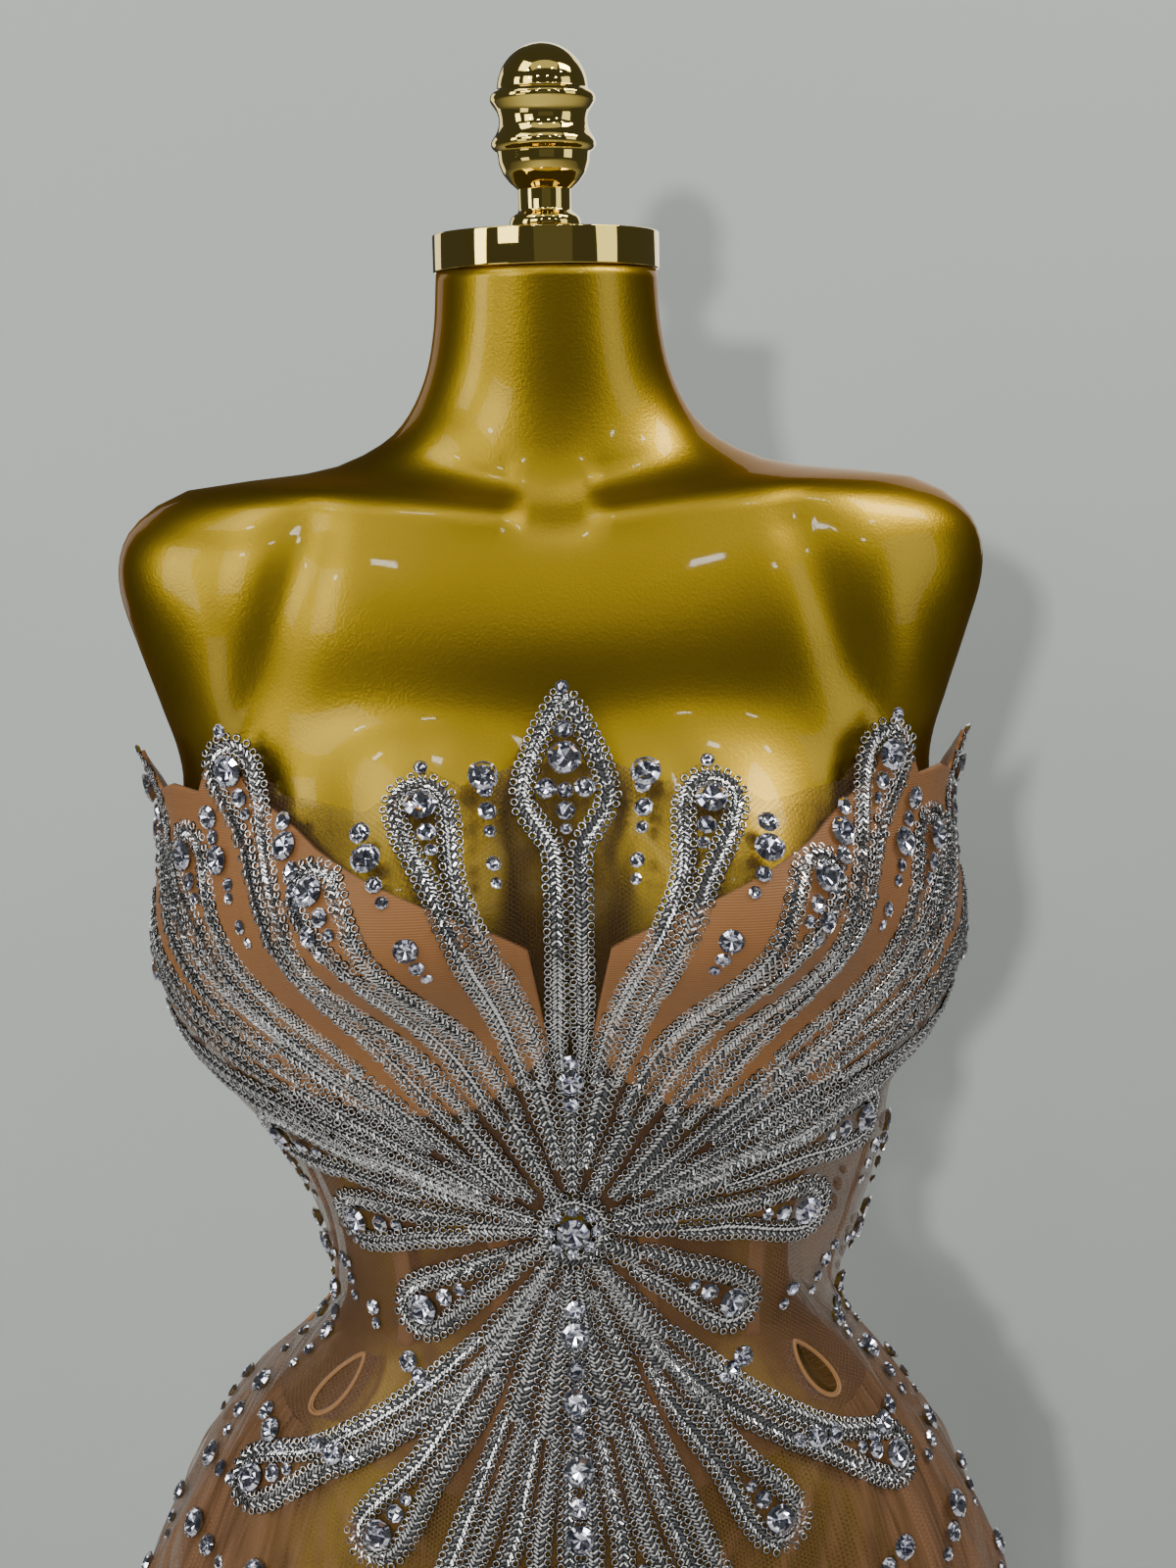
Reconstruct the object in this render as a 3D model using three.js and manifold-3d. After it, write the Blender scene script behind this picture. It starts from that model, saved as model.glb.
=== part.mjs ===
// A strapless rhinestone stage dress worn by a limbless, gold-finished dress form on a stand.
// Millimetres, +Z up. The front of the dress faces -Y, and the origin is on the floor under the pole.
//
// The dress form is one smooth figure, read from a table of sections. The cloth is the same figure
// with some ease. Its front is laid out as a sunburst: rays of silver braid leave one point above the
// waist, and every front panel is a part of that fan, so that each braid is a ridge in its panel's wall.
// Angles are in degrees round the figure, with 0 at the centre front and 90 at the side on +X.

import * as THREE from "three";
import { mergeVertices } from "three/addons/utils/BufferGeometryUtils.js";
import Module from "manifold-3d";

const wasm = await Module();
wasm.setup();

// ---------------------------------------------------------------- driving dimensions

const FORM_TOP = 1410; // the flat top of the neck
const FORM_FOOT = 690; // the flat underside of the torso
const HEM = 620; // the lower edge of the skirt
const SUNBURST = 985; // where every ray of braid starts, on the centre front
const HEART_RADIUS = 12; // the round centre that the rays leave
const SIDE_SEAM = 95; // the angle of the side seams
const BACK_EDGE = 179.5; // the angle of the back panels' hooked edges
const SIDE_WAIST = 908; // the height of the waist seam at the sides and back

const NET_WALL = 1.4; // two layers of stiffened net
const CUP_WALL = 2.2; // moulded cups
const SEAM_GAP = 0.3; // each panel stops this far short of its seam line
const BRAID_HALF_WIDTH = 8; // a ray is two braids side by side
const LOOP_HALF_WIDTH = 12; // and opens into a loop round a stone at its end
const BRAID_RISE = 2.4; // how far the braid stands out of its panel
const STONE_RISE = 1.6; // and how much further the stone in a loop stands

const POLE_RADIUS = 12.5;
const BASE_RADIUS = 180;
const CAP_RADIUS = 51.7; // the polished cap on the neck
const CAP_HEIGHT = 16.6;
const FIT_GAP = 0.4; // between hard pieces that stand on each other

// ---------------------------------------------------------------- materials

function finish(color, roughness, metalness) {
  return new THREE.MeshStandardMaterial({ color, roughness, metalness });
}

const GOLD_PAINT = finish(0xb08a2c, 0.28, 0.75);
const GOLD_PLATE = finish(0xd6b24a, 0.08, 1);
const TAN_CUP = finish(0x9c6a45, 0.7, 0);
const TAN_NET = finish(0x8a5c3d, 0.65, 0);
const TAN_TRIM = finish(0xa87449, 0.6, 0);
const SILVER_BRAID = finish(0xb9bcc0, 0.3, 0.8);

// ---------------------------------------------------------------- tables and curves

function table(columns, rows) {
  return { columns: columns.split(" "), rows };
}

// Reads every column of a table at a value of its first column, on a smooth curve through the rows.
function read(from, at) {
  const { columns, rows } = from;
  const last = rows.length - 1;
  let i = 0;
  while (i < last - 1 && rows[i + 1][0] < at) i++;
  const low = rows[i];
  const high = rows[i + 1];
  const before = rows[Math.max(i - 1, 0)];
  const after = rows[Math.min(i + 2, last)];
  const span = high[0] - low[0];
  const f = THREE.MathUtils.clamp((at - low[0]) / span, 0, 1);
  const found = {};
  columns.forEach((name, c) => {
    const leave = ((high[c] - before[c]) / (high[0] - before[0])) * span;
    const arrive = ((after[c] - low[c]) / (after[0] - low[0])) * span;
    const rise = high[c] - low[c];
    const bend = (leave + arrive - 2 * rise) * f + (3 * rise - 2 * leave - arrive);
    found[name] = low[c] + f * (leave + f * bend);
  });
  return found;
}

function mix(a, b, f) {
  return a + (b - a) * f;
}

function bell(x, width) {
  return Math.exp(-0.5 * (x / width) ** 2);
}

function smooth(from, to, x) {
  return THREE.MathUtils.smoothstep(x, from, to);
}

function steps(from, to, count) {
  return Array.from({ length: count + 1 }, (_, i) => mix(from, to, i / count));
}

// ---------------------------------------------------------------- the figure

// A row for each section. The rises lift a section's sides and back, so that those at the shoulders
// tilt. The two lowest rows are under the form's foot and carry only the skirt.
const FIGURE = table("height half_width front back square rise_side rise_back", [
  [600, 176, 88, 100, 2.2, 0, 0],
  [640, 183, 90, 106, 2.2, 0, 0],
  [690, 192, 94, 116, 2.2, 0, 0],
  [740, 199, 98, 125, 2.2, 0, 0],
  [790, 194, 98, 122, 2.2, 0, 0],
  [836, 173, 94, 108, 2.2, 0, 0],
  [880, 144, 87, 92, 2.2, 0, 0],
  [905, 120, 82, 83, 2.2, 0, 0],
  [920, 110, 79, 79, 2.2, 0, 0],
  [940, 106.5, 77, 76, 2.2, 0, 0],
  [970, 110.5, 78, 75, 2.2, 0, 0],
  [1005, 125, 82, 78, 2.3, 0, 0],
  [1035, 149, 86, 82, 2.4, 0, 0],
  [1060, 168, 90, 86, 2.4, 0, 0],
  [1085, 179, 93, 89, 2.5, 0, 0],
  [1110, 183, 95, 91, 2.5, 0, 0],
  [1140, 180, 97, 94, 2.5, 0, 0],
  [1180, 174, 98, 98, 2.5, 0, 0],
  [1198, 176, 97, 99, 2.5, 0, 0],
  [1215, 182, 95, 99, 2.5, 1, 0],
  [1238, 191, 91, 98, 2.5, 4, 0],
  [1262, 199, 84, 93, 2.6, 8, 4],
  [1280, 197, 78, 87, 2.7, 10, 6],
  [1292, 186, 73, 82, 2.7, 12, 8],
  [1300, 165, 68, 77, 2.6, 15, 12],
  [1306, 130, 63, 72, 2.5, 13, 20],
  [1312, 105, 59, 68, 2.4, 10, 28],
  [1320, 84, 55, 64, 2.2, 10, 30],
  [1332, 69, 52, 60, 2.1, 9, 26],
  [1352, 58, 50, 56, 2, 8, 18],
  [1380, 52.5, 50, 52.5, 2, 3, 6],
  [1410, 50.5, 50.5, 50.5, 2, 0, 0],
]);

const BUST = { angle: 33, height: 1128, forward: 46, spread: 17, above: 42, below: 29, splay: 0.55 };

// How far the cloth stands off the figure. At one side it follows the waist closely, and at the other
// the net spans the hollow of the waist.
const EASE = table("height front minus_side plus_side back", [
  [600, 26, 32, 32, 34],
  [690, 16, 24, 24, 24],
  [740, 12, 18, 18, 16],
  [790, 10, 16, 15, 12],
  [836, 9, 15, 15, 10],
  [878, 9, 17, 16, 9],
  [900, 9, 14, 19, 9],
  [925, 9, 6.5, 21, 9],
  [940, 9, 6, 26, 9],
  [958, 9, 6.5, 31, 8],
  [985, 8, 8, 32, 8],
  [1008, 8, 8, 26, 7],
  [1032, 7, 8, 10, 6],
  [1060, 7, 8, 8, 6],
  [1110, 6.5, 7, 7, 5.5],
  [1165, 6, 8, 7, 5.5],
  [1195, 6, 16, 14, 5.5],
  [1240, 6, 20, 18, 5.5],
]);

const NO_EASE = { front: 0, minus_side: 0, plus_side: 0, back: 0 };
const BRIDGE = { forward: 15, height: 1132, spread: 10, tall: 40 }; // the cloth spans between the cups
const GATHERS = { period: 20, depth: 6, top: 850 }; // the skirt's soft upright folds

function bustSwell(angle, height) {
  const tall = height > BUST.height ? BUST.above : BUST.below;
  const dome = (side) => {
    const across = (angle - side * BUST.angle) / BUST.spread;
    const up = (height - BUST.height) / tall;
    return Math.exp(-0.5 * (across ** 2 + up ** 2) ** 1.15);
  };
  return BUST.forward * (dome(1) + dome(-1));
}

// A point of the figure's skin, or of the cloth over it when ease and extra are given.
function figurePoint(angle, height, ease = NO_EASE, extra = 0) {
  const section = read(FIGURE, height);
  const a = THREE.MathUtils.degToRad(angle);
  const across = Math.sin(a);
  const ahead = Math.cos(a);
  const half = section.half_width + (across < 0 ? ease.minus_side : ease.plus_side);
  const depth = ahead > 0 ? section.front + ease.front : section.back + ease.back;
  const n = section.square;
  const radius = (Math.abs(across / half) ** n + Math.abs(ahead / depth) ** n) ** (-1 / n);
  const swell = bustSwell(angle, height) + extra;
  const aim = a * BUST.splay;
  const lift = section.rise_side * across ** 2 + section.rise_back * Math.max(0, -ahead) ** 2;
  return new THREE.Vector3(
    radius * across + swell * Math.sin(aim),
    -radius * ahead - swell * Math.cos(aim),
    height + lift,
  );
}

function clothPoint(angle, height) {
  const span = bell(angle, BRIDGE.spread) * bell(height - BRIDGE.height, BRIDGE.tall);
  const hang = 1 - smooth(HEM, GATHERS.top, height);
  const out = GATHERS.depth * hang * Math.cos((2 * Math.PI * angle) / GATHERS.period);
  const ease = read(EASE, height);
  ease.front += out;
  ease.minus_side += out;
  ease.plus_side += out;
  ease.back += out;
  return figurePoint(angle, height, ease, BRIDGE.forward * span);
}

// The cloth's outward direction, from two short steps along it.
function clothNormal(angle, height) {
  const step = 0.5;
  const round = clothPoint(angle + step, height).sub(clothPoint(angle - step, height));
  const up = clothPoint(angle, height + step).sub(clothPoint(angle, height - step));
  return round.cross(up).normalize();
}

// A place in the cloth, which may be raised on its outer side and may stand in from it.
function spot(angle, height, lift = 0, inward = 0) {
  const normal = clothNormal(angle, height);
  const mid = clothPoint(angle, height).addScaledVector(normal, -inward);
  return { mid, normal, lift };
}

// ---------------------------------------------------------------- walls

function geometryOf(points, faces) {
  const flat = points.flatMap((p) => [p.x, p.y, p.z]);
  const made = new THREE.BufferGeometry();
  made.setAttribute("position", new THREE.Float32BufferAttribute(flat, 3));
  made.setIndex(faces);
  return made;
}

function quad(faces, a, b, c, d) {
  faces.push(a, b, c, a, c, d);
}

function outerSide(place, thickness) {
  return place.mid.clone().addScaledVector(place.normal, thickness / 2 + place.lift);
}

function innerSide(place, thickness) {
  return place.mid.clone().addScaledVector(place.normal, -thickness / 2);
}

// A closed wall round a grid of places, in which column x row points outwards.
function wall(grid, thickness) {
  const rows = grid.length;
  const columns = grid[0].length;
  const size = rows * columns;
  const outer = grid.flat().map((place) => outerSide(place, thickness));
  const inner = grid.flat().map((place) => innerSide(place, thickness));
  const faces = [];
  for (let r = 0; r < rows - 1; r++) {
    for (let c = 0; c < columns - 1; c++) {
      const at = r * columns + c;
      quad(faces, at, at + 1, at + columns + 1, at + columns);
      quad(faces, size + at, size + at + columns, size + at + columns + 1, size + at + 1);
    }
  }
  for (let c = 0; c < columns - 1; c++) {
    const top = (rows - 1) * columns + c;
    quad(faces, c + 1, c, size + c, size + c + 1);
    quad(faces, top, top + 1, size + top + 1, size + top);
  }
  for (let r = 0; r < rows - 1; r++) {
    const left = r * columns;
    const right = left + columns - 1;
    quad(faces, left, left + columns, size + left + columns, size + left);
    quad(faces, right + columns, right, size + right, size + right + columns);
  }
  return geometryOf([...outer, ...inner], faces);
}

// A closed patch of wall inside an outline, which runs anticlockwise when seen from outside.
function patch(outline, centre, thickness) {
  const n = outline.length;
  const places = [...outline, centre];
  const outer = places.map((place) => outerSide(place, thickness));
  const inner = places.map((place) => innerSide(place, thickness));
  const faces = [];
  for (let i = 0; i < n; i++) {
    const j = (i + 1) % n;
    faces.push(i, j, n);
    faces.push(n + 1 + j, n + 1 + i, n + 1 + n);
    quad(faces, j, i, n + 1 + i, n + 1 + j);
  }
  return geometryOf([...outer, ...inner], faces);
}

// A closed flat ring of cloth between two such outlines.
function band(outside, inside, thickness) {
  const n = outside.length;
  const loops = [
    outside.map((place) => outerSide(place, thickness)),
    inside.map((place) => outerSide(place, thickness)),
    inside.map((place) => innerSide(place, thickness)),
    outside.map((place) => innerSide(place, thickness)),
  ];
  const faces = [];
  for (let k = 0; k < loops.length; k++) {
    const next = ((k + 1) % loops.length) * n;
    for (let i = 0; i < n; i++) {
      const j = (i + 1) % n;
      quad(faces, k * n + i, k * n + j, next + j, next + i);
    }
  }
  return geometryOf(loops.flat(), faces);
}

// Moves a grid's edge points a little way in, which leaves the gap at its seams.
function insetEdges(grid) {
  const rows = grid.length;
  const columns = grid[0].length;
  const before = grid.map((row) => row.map((place) => place.mid.clone()));
  const pull = (r, c, r2, c2) => {
    const way = before[r2][c2].clone().sub(before[r][c]).normalize();
    grid[r][c].mid.addScaledVector(way, SEAM_GAP);
  };
  for (let r = 0; r < rows; r++) {
    pull(r, 0, r, 1);
    pull(r, columns - 1, r, columns - 2);
  }
  for (let c = 0; c < columns; c++) {
    pull(0, c, 1, c);
    pull(rows - 1, c, rows - 2, c);
  }
  return grid;
}

// A grid over a list of angles, between two edges whose height depends on the angle.
function roundGrid(angles, rows, bottom, top, inward = 0) {
  return steps(0, 1, rows).map((f) => angles.map((a) => spot(a, mix(bottom(a), top(a), f), 0, inward)));
}

function solidOf(geometry) {
  const bare = geometry.clone();
  bare.deleteAttribute("normal");
  bare.deleteAttribute("uv");
  const merged = mergeVertices(bare, 1e-4);
  const vertProperties = new Float32Array(merged.attributes.position.array);
  const triVerts = new Uint32Array(merged.index.array);
  return new wasm.Manifold(new wasm.Mesh({ numProp: 3, vertProperties, triVerts }));
}

function geometryFrom(solid) {
  const mesh = solid.getMesh();
  const made = new THREE.BufferGeometry();
  made.setAttribute("position", new THREE.BufferAttribute(mesh.vertProperties, 3));
  made.setIndex(new THREE.BufferAttribute(mesh.triVerts, 1));
  return made;
}

const part = new THREE.Group();

function add(name, geometry, material) {
  const mesh = new THREE.Mesh(geometry, material);
  mesh.name = name;
  part.add(mesh);
}

// ---------------------------------------------------------------- the sunburst of braid

// A row for each ray on one side, from the centre front's top round to its bottom. A ray leaves the
// sunburst's centre towards its bend and stops at its end, at the share of its line's length in
// reach. The line goes on to the edge. The valley is the edge half way to the next ray.
const RAYS = {
  columns: "bend_angle bend_height end_angle end_height edge_angle edge_height valley_angle valley_height reach loop",
  rows: [
    [0, 1080, 0, 1210, 0, 1230, 14, 1182, 0.93, 1],
    [9, 1070, 29, 1182, 30, 1198, 38, 1180, 0.93, 1],
    [22, 1052, 45, 1152, 47, 1184, 53, 1186, 0.88, 1],
    [40, 1030, 61, 1196, 62, 1212, 67, 1184, 0.93, 1],
    [53, 1030, 71, 1158, 73, 1186, 77, 1182, 0.88, 1],
    [63, 1030, 83, 1182, 84, 1198, 95, 1170, 0.93, 1],
    [60, 1022, 86, 1128, 95, 1142, 95, 1112, 0.88, 0],
    [54, 1012, 86, 1072, 95, 1080, 95, 1056, 0.88, 0],
    [42, 1006, 72, 1026, 95, 1030, 95, 1005, 0.8, 1],
    [32, 988, 63, 984, 95, 980, 95, 955, 0.7, 1],
    [26, 966, 48, 940, 95, 932, 95, 908, 0.6, 1],
    [38, 900, 72, 856, 80, 620, 70, 620, 0.5, 1],
    [25, 925, 47, 838, 60, 620, 50, 620, 0.5, 1],
    [15, 920, 37, 780, 40, 620, 30, 620, 0.55, 1],
    [7, 905, 18, 800, 20, 620, 10, 620, 0.5, 1],
    [0, 900, 0, 765, 0, 620, 0, 620, 0.6, 1],
  ],
};
const LAST_RAY = RAYS.rows.length - 1;
const CORNER_RAY = 10; // after it the fan turns the corner at the end of the waist seam
const CORNER_SHARES = [0.75, 0.5]; // where more lines divide the wide gap at the corner

const CUP_SEAM = { angle: 34, height: 1040, inner_rise: 44, outer_rise: 52 };
const HIP_SEAM = { centre: 852, curve: 1.3 };

function rayLine(ray) {
  const row = RAYS.rows[ray];
  const [bendAngle, bendHeight, endAngle, endHeight, edgeAngle, edgeHeight] = row;
  const [reach, loop] = row.slice(-2);
  return { bend: [bendAngle, bendHeight], end: [endAngle, endHeight], edge: [edgeAngle, edgeHeight], reach, loop };
}

// The line half way between a ray and the next.
function gapLine(ray) {
  const a = rayLine(ray);
  const b = rayLine(ray + 1);
  const valley = RAYS.rows[ray].slice(6, 8);
  const half = (p, q) => [(p[0] + q[0]) / 2, (p[1] + q[1]) / 2];
  const corner = ray === CORNER_RAY;
  return {
    bend: half(a.bend, b.bend),
    end: corner ? [SIDE_SEAM, SIDE_WAIST] : half(a.end, b.end),
    edge: corner ? [SIDE_SEAM, HEM] : valley,
    reach: (a.reach + b.reach) / 2,
  };
}

// The angle and height at a share t of a line's length.
function along(line, t) {
  const { bend, end, edge, reach } = line;
  if (t > reach) {
    const f = (t - reach) / (1 - reach);
    return [mix(end[0], edge[0], f), mix(end[1], edge[1], f)];
  }
  const f = t / reach;
  const from = (1 - f) ** 2;
  const by = 2 * f * (1 - f);
  const to = f ** 2;
  return [by * bend[0] + to * end[0], from * SUNBURST + by * bend[1] + to * end[1]];
}

function between(ray, gap, t, f) {
  const onRay = along(ray, t);
  const onGap = along(gap, t);
  return [mix(onRay[0], onGap[0], f), mix(onRay[1], onGap[1], f)];
}

// A line beside a ray, a share of the braid's half width away from it towards a gap.
function beside(ray, gap, share) {
  return (t) => {
    const opening = smooth(ray.reach - 0.16, ray.reach - 0.03, t) * ray.loop;
    const width = mix(BRAID_HALF_WIDTH, LOOP_HALF_WIDTH, opening);
    const apart = clothPoint(...along(ray, t)).distanceTo(clothPoint(...along(gap, t)));
    return between(ray, gap, t, share * Math.min(0.85, width / Math.max(apart, 1)));
  };
}

// How high a ray's braid stands at a share of its line's length.
function braidLift(ray) {
  return (t) => {
    const ended = smooth(ray.reach - 0.01, ray.reach + 0.04, t);
    const stone = ray.loop * STONE_RISE * bell(t - ray.reach + 0.05, 0.03);
    return (BRAID_RISE + stone) * (1 - ended);
  };
}

// Every line of one side in order, each with its place k in the fan: whole at a ray's middle, and a
// half at a gap. A braid has a shoulder and a foot on each side of its middle.
function fanLines() {
  const lines = [];
  const flat = () => 0;
  for (let i = 0; i <= LAST_RAY; i++) {
    const ray = rayLine(i);
    const lift = braidLift(ray);
    if (i > 0) {
      const gap = gapLine(i - 1);
      if (i - 1 === CORNER_RAY) {
        CORNER_SHARES.forEach((f) => lines.push({ k: i - 0.4 - f / 10, at: (t) => between(ray, gap, t, f), lift: flat }));
      }
      lines.push({ k: i - 0.3, at: beside(ray, gap, 1), lift: flat });
      lines.push({ k: i - 0.1, at: beside(ray, gap, 0.5), lift });
    }
    if (i < LAST_RAY) {
      const gap = gapLine(i);
      lines.push({ k: i + 0.1, at: beside(ray, gap, 0.5), lift });
      lines.push({ k: i + 0.3, at: beside(ray, gap, 1), lift: flat });
      lines.push({ k: i + 0.5, at: (t) => along(gap, t), lift: flat });
    }
  }
  return lines;
}

const LINES = fanLines();
const HEART = clothPoint(0, SUNBURST);

function cupSeam(angle) {
  const out = angle - CUP_SEAM.angle;
  const inner = CUP_SEAM.inner_rise * (out / CUP_SEAM.angle) ** 2;
  const outer = CUP_SEAM.outer_rise * (out / (SIDE_SEAM - CUP_SEAM.angle)) ** 2;
  return CUP_SEAM.height + (out < 0 ? inner : outer);
}

function hipSeam(angle) {
  const share = Math.min(1, Math.abs(angle) / SIDE_SEAM) ** HIP_SEAM.curve;
  return mix(HIP_SEAM.centre, SIDE_WAIST, share);
}

// The share of a line's length at which it first passes a test.
function firstWhere(line, passes) {
  const stride = 0.02;
  let high = stride;
  while (high < 1 && !passes(...line.at(high))) high += stride;
  let low = high - stride;
  for (let i = 0; i < 24; i++) {
    const t = (low + high) / 2;
    if (passes(...line.at(t))) high = t;
    else low = t;
  }
  return Math.min(high, 1);
}

const atHeart = (line) => firstWhere(line, (a, h) => clothPoint(a, h).distanceTo(HEART) > HEART_RADIUS);
const atCup = (line) => firstWhere(line, (a, h) => h > cupSeam(a));
const atHip = (line) => firstWhere(line, (a, h) => h < hipSeam(a) + 0.001);
const atEdge = () => 1;
const atSide = (line) => (line.k === CORNER_RAY + 0.5 ? atHip(line) : 1);

// A panel of the fan on one side: the lines from one k to another, between two places on each.
function fanGrid(side, fromK, toK, rows, start, stop) {
  const picked = LINES.filter((line) => line.k >= fromK && line.k <= toK);
  const limits = picked.map((line) => [start(line), stop(line)]);
  return steps(0, 1, rows).map((f) => {
    const row = picked.map((line, i) => {
      const t = mix(...limits[i], f);
      const [angle, height] = line.at(t);
      return spot(side * angle, height, line.lift(t));
    });
    return side > 0 ? row : row.reverse();
  });
}

function joinColumns(left, right) {
  return left.map((row, r) => [...row, ...right[r]]);
}

const SIDES = [
  [-1, "minus_x"],
  [1, "plus_x"],
];

// ---------------------------------------------------------------- the front bodice

// A centre gore that stands up in a point, and on each side a panel, its cup and a side panel.
const gore = joinColumns(fanGrid(-1, 0, 0.5, 13, atHeart, atEdge), fanGrid(1, 0, 0.5, 13, atHeart, atEdge));
add("front_gore", wall(insetEdges(gore), NET_WALL), TAN_NET);

for (const [side, hand] of SIDES) {
  const frontPanel = fanGrid(side, 0.5, 6.5, 5, atHeart, atCup);
  const cup = fanGrid(side, 0.5, 6.5, 8, atCup, atEdge);
  const sidePanel = fanGrid(side, 6.5, CORNER_RAY + 0.5, 9, atHeart, atSide);
  add(`front_panel_${hand}`, wall(insetEdges(frontPanel), NET_WALL), TAN_NET);
  add(`cup_${hand}`, wall(insetEdges(cup), CUP_WALL), TAN_CUP);
  add(`side_panel_${hand}`, wall(insetEdges(sidePanel), NET_WALL), TAN_NET);
}

// The round of close braid and stones at the sunburst's centre.
const MEDALLION = { sides: 24, gap: 0.7, dome: 4.4, edge: 2 };
const medallionRadius = HEART_RADIUS - MEDALLION.gap;
const degreesAcross = THREE.MathUtils.radToDeg(medallionRadius / -HEART.y);
const medallionEdge = steps(0, 2 * Math.PI, MEDALLION.sides)
  .slice(1)
  .map((a) => spot(degreesAcross * Math.cos(a), SUNBURST + medallionRadius * Math.sin(a), MEDALLION.edge));
add("sunburst_medallion", patch(medallionEdge, spot(0, SUNBURST, MEDALLION.dome), NET_WALL), SILVER_BRAID);

// ---------------------------------------------------------------- the front below the waist

// The basque reaches from the waist seam to the hips and has a bound cut-out near each side.
const CUT_OUT = { angle: 62, height: 905, half_width: 10, half_height: 15, slant: 22, sides: 28, binding: 2.6 };

// A teardrop with its point up, leaning towards the centre front. Inset makes it smaller all round.
function cutOutline(side, inset) {
  const { angle, height, slant } = CUT_OUT;
  const degreesPerMm = 1 / clothPoint(side * (angle + 1), height).distanceTo(clothPoint(side * angle, height));
  const lean = THREE.MathUtils.degToRad(slant);
  const outline = steps(0, 2 * Math.PI, CUT_OUT.sides)
    .slice(1)
    .map((a) => {
      const v = (CUT_OUT.half_height - inset) * Math.cos(a);
      const u = (CUT_OUT.half_width - inset) * Math.sin(a) * Math.sin(a / 2) ** 0.6;
      const across = u * Math.cos(lean) - v * Math.sin(lean);
      const up = u * Math.sin(lean) + v * Math.cos(lean);
      return spot(side * (angle + across * degreesPerMm), height + up);
    });
  return side > 0 ? outline.reverse() : outline;
}

const CUTTER_THICKNESS = 14;
let basque = solidOf(
  wall(
    insetEdges(
      joinColumns(
        fanGrid(1, CORNER_RAY + 0.5, LAST_RAY, 9, atHeart, atHip),
        fanGrid(-1, CORNER_RAY + 0.5, LAST_RAY, 9, atHeart, atHip),
      ),
    ),
    NET_WALL,
  ),
);
for (const [side, hand] of SIDES) {
  const centre = spot(side * CUT_OUT.angle, CUT_OUT.height);
  basque = basque.subtract(solidOf(patch(cutOutline(side, 0), centre, CUTTER_THICKNESS)));
  const bound = band(cutOutline(side, SEAM_GAP), cutOutline(side, CUT_OUT.binding), NET_WALL + 0.8);
  add(`cutout_binding_${hand}`, bound, TAN_TRIM);
}
add("front_basque", geometryFrom(basque), TAN_NET);

const frontSkirt = joinColumns(
  fanGrid(1, CORNER_RAY + 0.5, LAST_RAY, 6, atHip, atEdge),
  fanGrid(-1, CORNER_RAY + 0.5, LAST_RAY, 6, atHip, atEdge),
);
add("front_skirt", wall(insetEdges(frontSkirt), NET_WALL), TAN_NET);

// ---------------------------------------------------------------- the back

const BACK_TOP = { side: 1170, centre: 1122, curve: 1.6 };

function backTop(angle) {
  const toSide = (BACK_EDGE - Math.abs(angle)) / (BACK_EDGE - SIDE_SEAM);
  return mix(BACK_TOP.centre, BACK_TOP.side, Math.max(0, toSide) ** BACK_TOP.curve);
}

for (const [side, hand] of SIDES) {
  const ends = side > 0 ? [SIDE_SEAM, BACK_EDGE] : [-BACK_EDGE, -SIDE_SEAM];
  const bodice = roundGrid(steps(...ends, 9), 8, () => SIDE_WAIST, backTop);
  const skirt = roundGrid(steps(...ends, 21), 6, () => HEM, () => SIDE_WAIST);
  add(`back_panel_${hand}`, wall(insetEdges(bodice), NET_WALL), TAN_NET);
  add(`back_skirt_${hand}`, wall(insetEdges(skirt), NET_WALL), TAN_NET);
}

// The placket lies inside the back edges, under the hooks and eyes that close them.
const STRIP_WALL = 1.2;
const STRIP_INWARD = 2.9; // from the middle of the cloth to the middle of a strip inside it
const PLACKET = { from: 174.5, to: 185.5, bottom: 770, below_top: 4 };
const placket = roundGrid(
  steps(PLACKET.from, PLACKET.to, 4),
  12,
  () => PLACKET.bottom,
  () => BACK_TOP.centre - PLACKET.below_top,
  STRIP_INWARD,
);
add("back_placket", wall(placket, STRIP_WALL), TAN_TRIM);

// ---------------------------------------------------------------- the boning

// Each bone is a strip sewn inside the bodice, and runs from the cup or back edge to the hip.
const BONES = {
  columns: "angle bottom top",
  rows: [
    [22, 872, 1026],
    [50, 925, 1036],
    [122, 930, 1134],
    [152, 930, 1114],
  ],
};
const BONE_HALF_WIDTH = 4.5;

for (const [side, hand] of SIDES) {
  BONES.rows.forEach(([angle, bottom, top], i) => {
    const middle = (bottom + top) / 2;
    const degree = clothPoint(side * (angle + 1), middle).distanceTo(clothPoint(side * angle, middle));
    const half = BONE_HALF_WIDTH / degree;
    const angles = [side * angle - half, side * angle + half];
    const strip = roundGrid(angles, 10, () => bottom, () => top, STRIP_INWARD);
    add(`bone_${i + 1}_${hand}`, wall(strip, STRIP_WALL), TAN_TRIM);
  });
}

// ---------------------------------------------------------------- the dress form and its stand

const FORM_HEIGHTS = [
  FORM_FOOT, 740, 790, 836, 862, 884, 905, 920, 940, 970, 1005, 1035, 1060, 1082, 1098, 1113, 1128, 1145, 1163, 1182,
  1200, 1222, 1242, 1262, 1280, 1292, 1300, 1306, 1312, 1320, 1332, 1352, 1380, FORM_TOP,
];
const HALF_ROUND = [0, 8, 16, 24, 32, 40, 48, 57, 66, 73, 80, 86, 93, 100, 108, 118, 130, 145, 162];

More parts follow.
